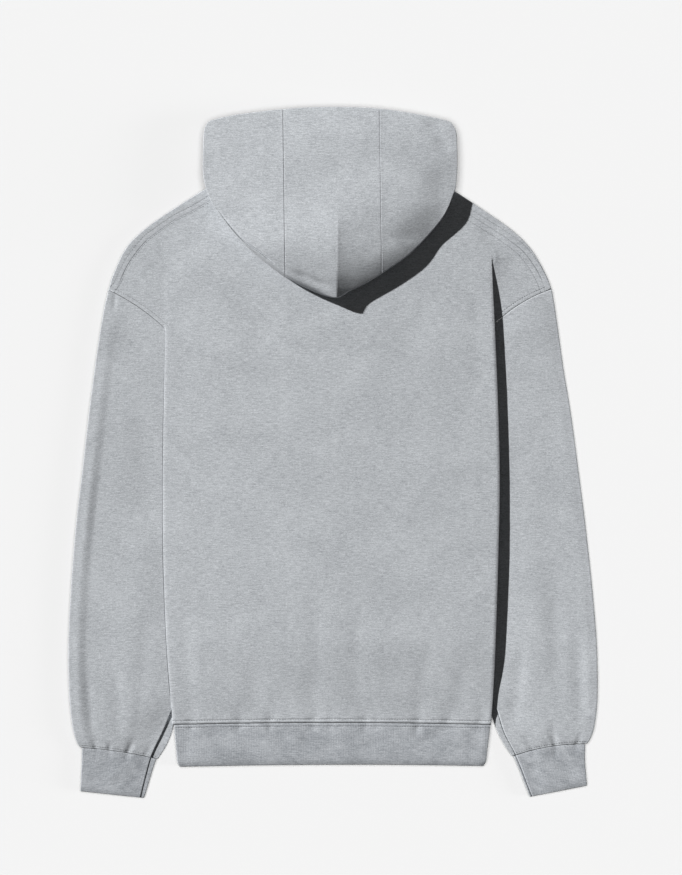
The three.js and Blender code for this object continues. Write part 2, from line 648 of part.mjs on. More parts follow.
// The sleeve's height: lower towards the torso, tucked under the side fold, gathered above the cuff.
function sleeveRise(side) {
  const innerDrop = { share: 0.25, from: 0.35, startY: 180, fullY: 60 };
  const outerBead = { height: 0.8, across: 0.06, width: 0.04 };
  const tuck = { height: tuckLift - 0.7, out: -6, inside: -1, startY: 146, fullY: 122 };
  return (section, share, place) => {
    const low = sleeveSections[side][sleeveSections[side].length - 1];
    const toCuff = section.outY - low.outY;
    const { startY, fullY } = innerDrop;
    const drop = innerDrop.share * smooth(innerDrop.from, 1, share) * smooth(startY, fullY, section.outY);
    let height = section.height * (1 - drop);
    const inside = side === 'left' ? place.x - foldX(side, place.y) : foldX(side, place.y) - place.x;
    const tucked = smooth(tuck.out, tuck.inside, inside) * smooth(tuck.startY, tuck.fullY, place.y);
    height = mix(height, tuck.height, tucked);
    height += outerBead.height * bump(share - outerBead.across, outerBead.width);
    for (const fold of cuffGathers[side]) {
      height -= fold.depth * bump(share - fold.across, fold.width) * smooth(fold.reach, 0, toCuff);
    }
    return height;
  };
}

function sleeve(side) {
  const shares = sharesFor(110, [1, foldRoll, 7, 14], 10);
  return flatTube(sleeveSections[side], shares, sleeveRoll, sleeveRise(side));
}

function cuff(side) {
  const seam = sleeveSections[side][sleeveSections[side].length - 1];
  const run = new THREE.Vector2(seam.inX - seam.outX, seam.inY - seam.outY).normalize();
  const down = new THREE.Vector2(run.y, -run.x).multiplyScalar(seamGap);
  if (down.y > 0) down.negate();
  const start = {
    outX: seam.outX + run.x * cuffInset + down.x,
    outY: seam.outY + run.y * cuffInset + down.y,
    inX: seam.inX - run.x * cuffInset + down.x,
    inY: seam.inY - run.y * cuffInset + down.y,
    bow: seam.bow,
    height: cuffSeamHeight,
  };
  const sections = [start, ...cuffSections[side]];
  return flatTube(sections, sharesFor(80, [1, foldRoll, 9], 6), foldRoll, (section) => section.height);
}

function waistband() {
  const shares = sharesFor(376, [1, foldRoll, 10], 22);
  return flatTube(waistSections, shares, foldRoll, (section, share, place) => {
    let height = section.height;
    const nearSeam = 0.5 * smooth(waistSeamY - 34, waistSeamY, place.y);
    for (const fold of waistGathers) {
      height -= fold.depth * bump(place.x - fold.x, fold.width) * nearSeam;
    }
    return height;
  });
}

// The hood: one hollow sheet, cut into a centre and two side panels

function hoodPanels() {
  const across = sharesFor(300, [1.5, hoodRoll * 0.5, hoodRoll, 18], 12);
  const along = sharesFor(215, [1.5, hoodRoll * 0.5, hoodRoll, 18], 11);
  const edges = [hoodLowerEdge, hoodUpperEdge, hoodLeftEdge, hoodRightEdge].map(curveThrough);
  const plan = patch(...edges, across, along);
  const rounded = edges.map((edge) => samples(edge, 0, 1, 60));
  const shell = hollowSheet(plan, hoodTop, hoodBottom, hoodRoll, rounded);

  const mouth = [];
  for (let i = 0; i <= 16; i++) {
    const x = middleX + mix(-neckHalfWidth, neckHalfWidth, i / 16);
    mouth.push(new THREE.Vector2(x, necklineY(x, backNeckY)));
  }
  mouth.push(new THREE.Vector2(middleX + neckHalfWidth, faceOpening.topY));
  mouth.push(new THREE.Vector2(middleX - neckHalfWidth, faceOpening.topY));
  const mouthTop = 13; // over the under layer, and clear of the upper one
  const open = shell.subtract(prism(mouth, below, mouthTop));

  const strip = (fromTop, fromBottom, toTop, toBottom) => {
    const { topY, bottomY } = hoodSeamEnds;
    const lower = [new THREE.Vector2(fromBottom, bottomY), new THREE.Vector2(toBottom, bottomY)];
    const upper = [new THREE.Vector2(toTop, topY), new THREE.Vector2(fromTop, topY)];
    return prism([...lower, ...upper], below, above);
  };
  const half = seamGap / 2;
  const beyond = 200; // past either side of the hood
  const { left, right } = hoodSeams;
  const centre = open.intersect(
    strip(left.topX + half, left.bottomX + half, right.topX - half, right.bottomX - half),
  );
  const leftSide = open.intersect(strip(-beyond, -beyond, left.topX - half, left.bottomX - half));
  const rightSide = open.intersect(strip(right.topX + half, right.bottomX + half, beyond, beyond));
  return {
    centre,
    left: leftSide.add(frontFlap(-1)),
    right: rightSide.add(frontFlap(1)),
  };
}

// The part of a side panel that lies on the surface.
// It runs from the front neckline up to the edge of the face opening.
function frontFlap(sign) {
  const seam = sign < 0 ? hoodSeams.left.topX + 0.2 : hoodSeams.right.topX + 1;
  const outerX = middleX + sign * (neckHalfWidth + 6);
  const neckX = middleX + sign * (neckHalfWidth - 1);
  const { topY, halfWidth, widestY } = faceOpening;
  const points = [
    new THREE.Vector2(seam, topY - seamGap),
    new THREE.Vector2(seam + sign, topY + 5),
    new THREE.Vector2(outerX, topY + 5),
    new THREE.Vector2(outerX, neckPointY + 26),
    new THREE.Vector2(neckX, neckPointY + 14),
  ];
  for (let share = 1; share > 0.02; share -= 0.1) {
    const x = middleX + sign * (neckHalfWidth - 1) * share;
    points.push(new THREE.Vector2(x, necklineY(x, frontNeckY) + 0.6));
  }
  points.push(new THREE.Vector2(middleX + sign * seamGap, frontNeckY + 0.8));
  const rim = new THREE.CubicBezierCurve(
    new THREE.Vector2(middleX + sign * seamGap, frontNeckY + 6),
    new THREE.Vector2(middleX + sign * halfWidth * 0.6, mix(frontNeckY, widestY, 0.55)),
    new THREE.Vector2(middleX + sign * halfWidth, widestY - 15),
    new THREE.Vector2(seam, topY - 12),
  );
  points.push(...rim.getPoints(8));
  return prism(sign < 0 ? points.reverse() : points, 0, cloth);
}

// The finished garment

const fleece = { color: 0xb4b8bb, roughness: 0.95, metalness: 0 };
const ribbing = { color: 0xa9adb0, roughness: 0.95, metalness: 0 };

function meshOf(name, solid, finish) {
  const pieces = solid.decompose().sort((a, b) => b.volume() - a.volume());
  const made = pieces[0].getMesh(); // the slivers that a cut leaves beside the cloth are dropped
  const geometry = new THREE.BufferGeometry();
  const position = new Float32Array(made.numVert * 3);
  for (let i = 0; i < made.numVert; i++) {
    position.set(made.vertProperties.subarray(i * made.numProp, i * made.numProp + 3), i * 3);
  }
  geometry.setAttribute('position', new THREE.BufferAttribute(position, 3));
  geometry.setIndex(new THREE.BufferAttribute(made.triVerts, 1));
  geometry.computeVertexNormals();
  const mesh = new THREE.Mesh(geometry, new THREE.MeshStandardMaterial(finish));
  mesh.name = name;
  return mesh;
}

const hoodie = new THREE.Group();
const body = bodyPanels();
const hood = hoodPanels();
hoodie.add(
  meshOf('back_panel', body.back, fleece),
  meshOf('front_panel', body.front, fleece),
  meshOf('sleeve_left', sleeve('left'), fleece),
  meshOf('sleeve_right', sleeve('right'), fleece),
  meshOf('cuff_left', cuff('left'), ribbing),
  meshOf('cuff_right', cuff('right'), ribbing),
  meshOf('waistband', waistband(), ribbing),
  meshOf('hood_centre', hood.centre, fleece),
  meshOf('hood_side_left', hood.left, fleece),
  meshOf('hood_side_right', hood.right, fleece),
);

export default hoodie;
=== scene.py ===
import math
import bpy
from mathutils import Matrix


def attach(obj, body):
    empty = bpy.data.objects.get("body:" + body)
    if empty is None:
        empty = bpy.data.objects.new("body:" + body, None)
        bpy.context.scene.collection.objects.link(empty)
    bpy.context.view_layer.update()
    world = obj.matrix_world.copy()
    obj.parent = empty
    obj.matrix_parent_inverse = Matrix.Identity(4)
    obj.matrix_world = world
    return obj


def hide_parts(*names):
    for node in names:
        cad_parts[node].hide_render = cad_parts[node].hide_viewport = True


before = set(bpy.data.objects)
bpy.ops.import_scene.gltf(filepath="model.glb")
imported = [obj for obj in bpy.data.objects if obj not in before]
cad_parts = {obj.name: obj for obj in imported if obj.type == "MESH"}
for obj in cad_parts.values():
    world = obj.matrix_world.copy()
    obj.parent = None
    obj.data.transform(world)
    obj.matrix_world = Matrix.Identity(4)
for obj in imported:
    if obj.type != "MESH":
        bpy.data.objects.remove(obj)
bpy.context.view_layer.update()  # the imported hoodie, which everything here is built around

from types import SimpleNamespace

import bmesh
import bpy
import numpy as np
from mathutils import Vector
from mathutils.bvhtree import BVHTree

# Lengths are in millimetres until a mesh is made.
# X runs across the back, Y from the waistband to the hood, Z up from the floor.

garment = {
    "middleX": -2.4,
    "cloth": 1.5,  # the wall of the thin shells that stand for the fleece
    "waistSeamY": -323,
    "waistSeamDip": 2.4,
    "neckHalfWidth": 97,
    "neckPointY": 342,
    "frontNeckY": 256,
    "seamGap": 0.3,
}
middleX = garment["middleX"]
waistSeamY = garment["waistSeamY"]
sides = {"left": -1, "right": 1}


# Small shared functions

def smooth(start, end, value):
    t = np.clip((np.asarray(value, float) - start) / (end - start), 0, 1)
    return t * t * (3 - 2 * t)


def mix(a, b, share):
    return a + (b - a) * share


def bump(distance, width):
    return np.exp(-(np.asarray(distance, float) / width) ** 2)


def curveThrough(points, steps=24):  # a smooth curve through the points, as a dense line
    p = np.array(points, float)
    p = np.vstack([2 * p[0] - p[1], p, 2 * p[-1] - p[-2]])
    t = np.linspace(0, 1, steps, endpoint=False)[:, None]
    parts = []
    for a, b, c, d in zip(p[:-3], p[1:-2], p[2:-1], p[3:]):
        cubic = (2 * a - 5 * b + 4 * c - d) * t**2 + (3 * b - a - 3 * c + d) * t**3
        parts.append(0.5 * (2 * b + (c - a) * t + cubic))
    return np.vstack([*parts, p[-2:-1]])


def unit(vectors):
    return vectors / (np.linalg.norm(vectors, axis=-1, keepdims=True) + 1e-9)


def sideways(ahead):  # unit vectors to the left of these in plan
    return unit(np.stack([-ahead[:, 1], ahead[:, 0]], axis=1))


def lengthAlong(line):
    steps = np.linalg.norm(np.diff(line, axis=0), axis=1)
    return np.concatenate([[0], np.cumsum(steps)])


def resample(line, shares, measure=None):
    at = lengthAlong(line if measure is None else measure)
    where = np.asarray(shares) * at[-1]
    return np.stack([np.interp(where, at, line[:, i]) for i in range(line.shape[1])], axis=-1)


def xAt(line, y):
    order = np.argsort(line[:, 1], kind="stable")
    return np.interp(y, line[order, 1], line[order, 0])


def valueAt(table, place):  # a smooth curve through a table of places and values
    line = curveThrough(table, 12)
    return np.interp(place, line[:, 0], line[:, 1])


def distanceTo(line, x, y):
    best = np.full(np.shape(x), 1e9)
    for (ax, ay), (bx, by) in zip(line[:-1, :2], line[1:, :2]):
        dx, dy = bx - ax, by - ay
        t = np.clip(((x - ax) * dx + (y - ay) * dy) / (dx * dx + dy * dy + 1e-9), 0, 1)
        best = np.minimum(best, np.hypot(x - ax - t * dx, y - ay - t * dy))
    return best


def creases(x, y, table):  # soft troughs, or ridges where the depth is negative, that fade at both ends
    height = np.zeros(np.shape(x))
    for x0, y0, x1, y1, depth, width in table:
        dx, dy = x1 - x0, y1 - y0
        t = ((x - x0) * dx + (y - y0) * dy) / (dx * dx + dy * dy)
        away = ((x - x0) * dy - (y - y0) * dx) / math.hypot(dx, dy)
        height -= depth * bump(away, width) * smooth(-0.12, 0.3, t) * smooth(1.12, 0.7, t)
    return height


def softWaves(x, y, seed, size, depth):  # the faint unevenness of cloth that lies by itself
    rng = np.random.default_rng(seed)
    height = np.zeros(np.shape(x))
    for _ in range(7):
        turn, phase, scale = rng.uniform(0, math.pi), rng.uniform(0, 6.3), size * rng.uniform(0.6, 1.7)
        height += np.sin((x * math.cos(turn) + y * math.sin(turn)) * 2 * math.pi / scale + phase)
    return height * depth / 3


# The torso's lines

sideFolds = {  # the pressed folds at the torso's sides, from below the waistband seam to above the armpit
    "left": curveThrough([(-191.6, -341), (-192.6, -323), (-193.4, -304), (-195.8, -280), (-199.8, -224),
                          (-203.4, -128), (-204, -32), (-202.8, 64), (-200.8, 149), (-200.4, 232),
                          (-200, 350)]),
    "right": curveThrough([(188.4, -341), (189.4, -323), (192.4, -280), (195, -224), (198, -128),
                           (199.8, -32), (197.6, 64), (194, 149), (190.4, 232), (190, 350)]),
}
shoulderEdges = {  # the silhouette from beyond the sleeve seam up to the neck
    "left": curveThrough([(-273.8, 176), (-268.6, 197), (-262.7, 214.6), (-247.7, 245.5), (-223.6, 269.6),
                          (-182.4, 297.8), (-140, 323.5), (-99.4, 342)]),
    "right": curveThrough([(266, 177), (261.2, 198), (254.3, 215), (238.5, 242.5), (215.5, 266),
                           (178.3, 292.3), (137, 319), (94.6, 342)]),
}
shoulderSeams = {  # turned a little onto the back
    "left": curveThrough([(-262.4, 195.2), (-258, 200), (-253.2, 208.8), (-246.6, 223.2), (-236.4, 238.8),
                          (-223.2, 254.4), (-207.6, 266.4), (-188.4, 279.6), (-170.4, 288.6),
                          (-148.8, 301.2), (-125, 316), (-97, 331)]),
    "right": curveThrough([(255.2, 193.6), (253.2, 200.4), (248.4, 211.2), (240, 225.6), (226.8, 242.4),
                           (210, 255.6), (198, 264), (176.4, 277.2), (158, 289), (134, 305), (92, 331)]),
}
armholes = {
    "left": {"tip": (-269, 195.6), "pit": (-200.8, 149), "bow": 3.4},
    "right": {"tip": (261.8, 196.6), "pit": (194, 155.6), "bow": 4.4},
}


def armholeLine(side, count=40):  # from the shoulder's edge to the armpit, bowed towards the neck
    tip, pit = np.array(armholes[side]["tip"]), np.array(armholes[side]["pit"])
    t = np.linspace(0, 1, count)[:, None]
    up = np.array([-(pit - tip)[1], (pit - tip)[0]])
    up = up / np.linalg.norm(up) * (1 if up[1] > 0 else -1)
    return tip + (pit - tip) * t + up * armholes[side]["bow"] * 4 * t * (1 - t)


armholeLines = {side: armholeLine(side) for side in sides}
backEdges = {  # the back panel's sewn edge, from the armpit up to the neck
    side: np.vstack([armholeLines[side][::-1][:36], shoulderSeams[side]]) for side in sides
}
shoulderRim = {side: shoulderEdges[side][::8] for side in sides}


def waistSeam(x):
    return waistSeamY - garment["waistSeamDip"] * ((x - middleX) / 190) ** 2


# Heights of the torso's upper and lower side

torso = {
    "middleHeight": 14.4,
    "foldHeights": {"left": 9.4, "right": 13.9},
    "shoulderHeight": 8.4,
    "seamHeight": 9.3,  # at the waistband
    "foldRoll": 0.5,
    "foldRamp": {"left": 16, "right": 4},  # above the armpit, where a fold dies away
    "tuckLift": 5.6,
    "backWrap": 17,
    "drops": {  # how far the cloth beyond a side fold lies below it, by y
        "left": [(-350, 0.3), (-200, 0.3), (150, 0.3), (205, 0.2), (243, 0), (400, 0)],
        "right": [(-350, 2.6), (-293, 3.6), (-260, 6.3), (-230, 7.8), (-185, 8.6), (-98, 8.3), (4, 7.6),
                  (97, 7.2), (140, 7.2), (175, 6.1), (194, 4.4), (212, 2.6), (224, 1.3), (234, 0.3),
                  (246, 0), (400, 0)],
    },
    "puckers": [(-171, 0.8, 6), (-112, 0.9, 6), (-76, 0.8, 5), (-24, 0.9, 8), (-3, 0.4, 5), (38, 0.8, 7),
                (52, 0.5, 5), (101, 1.0, 6), (137, 1.2, 7), (176, 0.9, 5)],  # x, depth, width
    "creases": [  # x0, y0, x1, y1, depth, width
        (-172, -318, -178, -190, 0.5, 10), (-24, -318, -18, -150, 0.55, 11), (28, -318, 30, -180, 0.5, 10),
        (104, -318, 112, -230, 0.45, 11), (-92, -318, -98, -240, 0.4, 12), (150, -318, 156, -250, 0.5, 10),
        (176, 277, 222, 218, 1.0, 13), (-150, 250, -60, 120, 0.4, 26),
        (120, 210, 60, 90, 0.4, 26), (176, 205, 170, 60, 0.4, 12), (-182, 190, -178, 40, 0.3, 12),
    ],
}


rim = {  # a folded edge turns over sharply at the top and rolls in softly underneath
    "over": 0.5,
    "under": 3.2,
    "height": 0.8,  # share of the height at which it is widest
}


def insideFold(x, y):
    return np.where(x < middleX, x - xAt(sideFolds["left"], y), xAt(sideFolds["right"], y) - x)


def dropAt(side, y):
    return np.clip(valueAt(torso["drops"][side], y), 0, None)


def torsoTop(x, y):
    out = np.clip(np.abs(x - middleX) / 200, 0, 1)
    fold = np.where(x < middleX, torso["foldHeights"]["left"], torso["foldHeights"]["right"])
    height = mix(torso["middleHeight"], fold, out**1.6) - 1.0 * smooth(200, 330, y)
    up = y - waistSeam(x)
    height = mix(np.minimum(torso["seamHeight"], height), height, smooth(0, 110, up))
    toRim = np.minimum(distanceTo(shoulderRim["left"], x, y), distanceTo(shoulderRim["right"], x, y))
    height = mix(torso["shoulderHeight"], height, smooth(0, 75, toRim))
    for place, depth, width in torso["puckers"]:
        soft = bump(x - place - 0.12 * up, width * (1 + up / 60)) * smooth(38, 3, up)
        height = height - depth * (0.65 * soft + 0.6 * bump(x - place, width * 0.6) * bump(up - 5, 3.2))
    height = height + creases(x, y, torso["creases"])
    return height + softWaves(x, y, 4, 150, 0.2) + softWaves(x, y, 9, 46, 0.05)


def yokeTop(x, y):  # beyond the side folds, where the cloth lies lower
    drop = np.where(x < middleX, dropAt("left", y), dropAt("right", y))
    return torsoTop(x, y) - drop * smooth(62, 0, -insideFold(x, y))


def bodyBottom(x, y):
    lift = torso["tuckLift"] * (1 - 0.3 * smooth(-285, waistSeamY, y)) * smooth(230, 160, y)
    reach = mix(130, 50, smooth(-180, -290, y))
    return lift * smooth(0, 1, (reach - insideFold(x, y)) / (reach - 14))


def foldLow(side, y):  # the lower side of a fold: on the tucked sleeve, and on the yoke above the armpit
    pitY, edge = armholes[side]["pit"][1], xAt(sideFolds[side], y)
    under = bodyBottom(edge - sides[side] * 6, y)
    return mix(under, yokeTop(edge + sides[side] * 0.5, y), smooth(pitY - 12, pitY, y))


# Meshes from rows of points

knitLift = 0.7  # how much a rise moves the knit's pattern, so that it isn't drawn out down an upright edge


def newObject(name, data):
    made = bpy.data.objects.new(name, data)
    bpy.context.collection.objects.link(made)
    return made


def knitPlace(points, grain):  # the courses of loops run across the piece, turned by grain in degrees
    turn = math.radians(grain)
    x, y, z = points.T
    across = x * math.cos(turn) + y * math.sin(turn)
    along = y * math.cos(turn) - x * math.sin(turn)
    return np.stack([across + z * knitLift, along + z * knitLift], axis=1)


def meshOf(name, points, faces, material, solid=None, grain=0.0):
    mesh = bpy.data.meshes.new(name)
    mesh.from_pydata((points * 0.001).tolist(), [], faces)
    corners = np.zeros(len(mesh.loops), dtype=np.int32)
    mesh.loops.foreach_get("vertex_index", corners)
    layer = mesh.uv_layers.new(name="cloth")
    uv = knitPlace(points, grain) * 0.001
    layer.data.foreach_set("uv", uv[corners].astype(np.float32).ravel())
    mesh.polygons.foreach_set("use_smooth", [True] * len(mesh.polygons))
    mesh.materials.append(material)
    piece = newObject(name, mesh)
    if solid:
        wall = piece.modifiers.new("wall", "SOLIDIFY")
        wall.thickness, wall.offset = solid * 0.001, -1
    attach(piece, "root")
    return piece


def gridFaces(rowCount, columnCount, around=False):
    faces = []
    for j in range(rowCount - 1):
        for i in range(columnCount if around else columnCount - 1):
            k = (i + 1) % columnCount
            faces.append((j * columnCount + i, j * columnCount + k,
                          (j + 1) * columnCount + k, (j + 1) * columnCount + i))
    return faces


def meshFrom(name, rows, material, around=False, solid=None, grain=0.0):
    faces = gridFaces(*rows.shape[:2], around)
    return meshOf(name, rows.reshape(-1, 3), faces, material, solid, grain)


def joined(name, pieces):
    with bpy.context.temp_override(active_object=pieces[0], selected_editable_objects=pieces):
        bpy.ops.object.join()
    pieces[0].name = name
    pieces[0].data.name = name
    return pieces[0]


# Materials: shader maths is written as expressions on wires

def mathNode(operation, swapped=False):
    def combine(wire, other=0):
        pair = [other, wire] if swapped else [wire, other]
        return wire.shader.add("ShaderNodeMath", {"operation": operation}, pair)

    return combine


class Wire:
    def __init__(self, shader, socket):
        self.shader, self.socket = shader, socket

    __add__, __radd__ = mathNode("ADD"), mathNode("ADD", True)
    __sub__, __rsub__ = mathNode("SUBTRACT"), mathNode("SUBTRACT", True)
    __mul__, __rmul__ = mathNode("MULTIPLY"), mathNode("MULTIPLY", True)
    __truediv__ = mathNode("DIVIDE")
    absolute, fraction, sine = mathNode("ABSOLUTE"), mathNode("FRACT"), mathNode("SINE")


class Shader:
    def __init__(self, name):
        self.material = bpy.data.materials.new(name)
        self.material.use_nodes = True
        self.tree = self.material.node_tree
        self.surface = self.tree.nodes["Principled BSDF"]

    def add(self, kind, settings=None, inputs=(), output=0):
        node = self.tree.nodes.new(kind)
        for key, value in (settings or {}).items():
            if key == "stops":
                self.setRamp(node, value)
            else:
                setattr(node, key, value)
        pairs = inputs.items() if isinstance(inputs, dict) else enumerate(inputs)
        for key, value in pairs:
            self.feed(node.inputs[key], value)
        return Wire(self, node.outputs[output])

    def setRamp(self, node, stops):
        ramp = node.color_ramp
        while len(ramp.elements) < len(stops):
            ramp.elements.new(0.5)
        for element, (place, colour) in zip(ramp.elements, stops):
            element.position, element.color = place, (*colour, 1)

    def feed(self, socket, value):
        if isinstance(value, Wire):
            self.tree.links.new(value.socket, socket)
        elif value is not None:
            socket.default_value = value


heather = {
    "fleeceLight": (0.58, 0.603, 0.627),
    "fleeceDark": (0.29, 0.304, 0.322),
    "ribLight": (0.50, 0.52, 0.545),
    "ribDark": (0.235, 0.25, 0.27),
    "slub": (9, 1.3),  # length and height of the longer flecks
    "fleck": (2.4, 0.9),
    "speck": (1.0, 0.7),
    "wale": 0.95,  # width of one column of knit loops
    "course": 0.75,
    "ribPitch": 2.0,
    "roughness": 0.92,
    "sheen": 0.12,
}


def heatherCloth(name, light, dark, ribbed=False):
    shader = Shader(name)
    uv = shader.add("ShaderNodeUVMap", {"uv_map": "cloth"})
    millimetres = shader.add("ShaderNodeVectorMath", {"operation": "SCALE"}, {0: uv, 3: 1000})

    def noise(size, detail, roughness=0.55, seed=0.0):
        place = shader.add("ShaderNodeVectorMath", {"operation": "MULTIPLY_ADD"},
                           [millimetres, (1 / size[0], 1 / size[1], 1), (seed, seed * 1.7, 0)])
        values = {"Vector": place, "Scale": 1, "Detail": detail, "Roughness": roughness, "Distortion": 0.5}
        return shader.add("ShaderNodeTexNoise", {"noise_dimensions": "2D"}, values)

    slubs = noise(heather["slub"], 2, seed=3.1)
    flecks = noise(heather["fleck"], 3, 0.65, seed=11.7)
    specks = noise(heather["speck"], 2, 0.7, seed=21.3)
    clouds = noise((60, 45), 3, seed=5.3)
    amount = (slubs - 0.5) * 0.8 + (flecks - 0.5) * 1.1 + (specks - 0.5) * 1.2 + (clouds - 0.5) * 0.3 + 0.5

    u = shader.add("ShaderNodeSeparateXYZ", {}, [millimetres])
    v = Wire(shader, u.socket.node.outputs[1])
    if ribbed:
        ridge = (u * (2 * math.pi / heather["ribPitch"])).sine() * 0.5 + 0.5
        relief = ridge * 0.1 + specks * 0.1 + flecks * 0.06
        # painted shade: the grooves between the ribs are coloured a little darker (1 - ridge); the broad
        # mottling added on this line is random tone
        amount = amount - (1 - ridge) * 0.03 + (noise((26, 15), 2, seed=41.3) - 0.5) * 0.5
    else:
        column = ((u / heather["wale"]).fraction() - 0.5).absolute()
        loop = ((v / heather["course"] + column * 1.3) * (2 * math.pi)).sine()
        relief = loop * 0.03 - column * 0.07 + specks * 0.1 + flecks * 0.06
    colour = shader.add("ShaderNodeValToRGB", {"stops": [(0.12, dark), (0.88, light)]}, [amount])
    normal = shader.add("ShaderNodeBump", {}, {"Strength": 0.55, "Distance": 0.001, "Height": relief})
    shader.feed(shader.surface.inputs["Base Color"], colour)
    shader.feed(shader.surface.inputs["Normal"], normal)
    shader.feed(shader.surface.inputs["Roughness"], heather["roughness"] - (flecks - 0.5) * 0.1)
    shader.surface.inputs["Sheen Weight"].default_value = heather["sheen"]
    shader.surface.inputs["Specular IOR Level"].default_value = 0.2
    return shader.material


fleece = heatherCloth("heather fleece", heather["fleeceLight"], heather["fleeceDark"])
ribKnit = heatherCloth("heather rib", heather["ribLight"], heather["ribDark"], ribbed=True)


def threadFinish():
    shader = Shader("sewing thread")
    place = shader.add("ShaderNodeTexCoord", output=3)
    twist = shader.add("ShaderNodeTexNoise", {}, {"Vector": place, "Scale": 1400, "Detail": 2})
    stops = [(0.3, (0.2, 0.21, 0.225)), (0.7, (0.33, 0.345, 0.365))]
    tone = shader.add("ShaderNodeValToRGB", {"stops": stops}, [twist])
    shader.feed(shader.surface.inputs["Base Color"], tone)
    shader.surface.inputs["Roughness"].default_value = 0.7
    return shader.material


thread = threadFinish()
print("materials ready")

# Seams: how far a sewn edge turns down, and the grooves that rows of stitches press into the cloth

seam = {
    "steps": np.array([0, 0.15, 0.4, 0.7, 1.1, 1.7, 2.5, 3.3, 3.9, 4.3, 4.7, 5.1, 5.5, 5.9, 6.3, 6.7, 7.3,
                       8.3, 10]),  # rows or columns of the mesh, by their distance from a seam
    "turn": 0.36,  # depth at the seam itself
    "turnWidth": 0.6,
    "groove": 0.15,
    "grooveWidth": 0.7,
    "rows": {"inner": {"left": 1.3, "right": 6.6}, "outer": {"left": 6, "right": 6.4},  # on the shoulders
             "armhole": 4.6, "waist": 4.3, "cuff": 2.6},
}
seamColumns = len(seam["steps"])


def seamDrop(distance, row=None, strength=1.0):
    drop = seam["turn"] * np.exp(-np.asarray(distance, float) / seam["turnWidth"])
    if row is not None:
        drop = drop + seam["groove"] * bump(distance - row, seam["grooveWidth"])
        drop = drop - 0.1 * max(strength - 1, 0) * bump(distance - row / 2, row / 4)
    return drop * strength


def slantOf(line, y):  # how much longer a level step is than the distance from a slanting line
    order = np.argsort(line[:, 1], kind="stable")
    ys, xs = line[order, 1], line[order, 0]
    rate = np.gradient(np.interp(np.arange(ys[0], ys[-1], 2.0), ys, xs), 2.0)
    return np.clip(np.hypot(1, np.interp(y, np.arange(ys[0], ys[-1], 2.0), rate)), 1, 2.6)


def fromEdge(start, end, slant, count):
    # x positions from a sewn edge inwards: the seam's close steps, then even ones up to the end
    width = np.abs(end - start)
    close = seam["steps"][None, :] * slant[:, None]
    squeeze = np.minimum(1, width / (close[:, -1] * 1.25 + 1e-6))
    close = close * squeeze[:, None]
    share = np.linspace(0, 1, count + 1)[None, 1:]
    rest = mix(close[:, -1][:, None], width[:, None], share)
    away = np.concatenate([close, rest], axis=1)
    return start[:, None] + np.sign(end - start)[:, None] * away, away / slant[:, None]


# The back panel: over the top, from one side seam underneath to the other

def foldProfile(side, y, count=15):
    # the columns round a side fold: base point first, then over its edge to the top
    edge = xAt(sideFolds[side], y)
    guide = mix(edge, 0.82 * xAt(backEdges[side], y), smooth(231, 262, y))
    inner = guide - sides[side] * torso["foldRoll"]
    low, top = foldLow(side, y), torsoTop(inner, y)
    low = np.where(y > 231, yokeTop(guide, y), low)
    rise = top - low
    sharp = smooth(0.4, 1.1, rise)[:, None]
    part = np.linspace(0, 1, count)[None, :]
    angle = math.pi * (part - 0.5)
    room = np.abs(xAt(backEdges[side], y) - guide)
    ramp = np.clip(1.6 * room, 1, torso["foldRamp"][side])[:, None]
    away = mix(ramp * (part - 0.5), torso["foldRoll"] * (1 - np.cos(angle)), sharp)
    x = guide[:, None] - sides[side] * away
    rowY = y[:, None] * np.ones_like(x)
    flat = mix(yokeTop(x, rowY), torsoTop(x, rowY), smooth(0, 1, part))
    z = mix(flat, (low[:, None] + top[:, None]) / 2 + rise[:, None] / 2 * np.sin(angle), sharp)
    return np.stack([x, rowY, z], axis=2)


def backSide(side, y):
    profile = foldProfile(side, y)
    base, pitY = profile[:, 0, 0], armholes[side]["pit"][1]
    seamX = xAt(backEdges[side], y)
    outwards, away = fromEdge(seamX, base, slantOf(backEdges[side], y), 24)
    wrap = base - sides[side] * torso["backWrap"] * smooth(pitY, pitY - 14, y)
    inwards = mix(wrap[:, None], base[:, None], np.linspace(0, 1, outwards.shape[1])[None, :])
    below = (y < pitY)[:, None]
    x = np.where(below, inwards, outwards)
    rowY = y[:, None] * np.ones_like(x)
    onShoulder = y > armholes[side]["tip"][1] - 2
    row = np.where(onShoulder, seam["rows"]["inner"][side], seam["rows"]["armhole"])[:, None]
    gap = smooth(0, 12, np.abs(base - seamX))[:, None]
    yoke = yokeTop(x, rowY) - seamDrop(away, row, 0.6) * gap
    z = np.where(below, bodyBottom(x, rowY), yoke)
    z = z + (profile[:, 0, 2][:, None] - z) * np.where(below, 0, smooth(6, 0, np.abs(x - base[:, None])))
    plain = np.stack([x, rowY, z], axis=2)[:, :-1]
    return np.concatenate([plain, profile], axis=1)


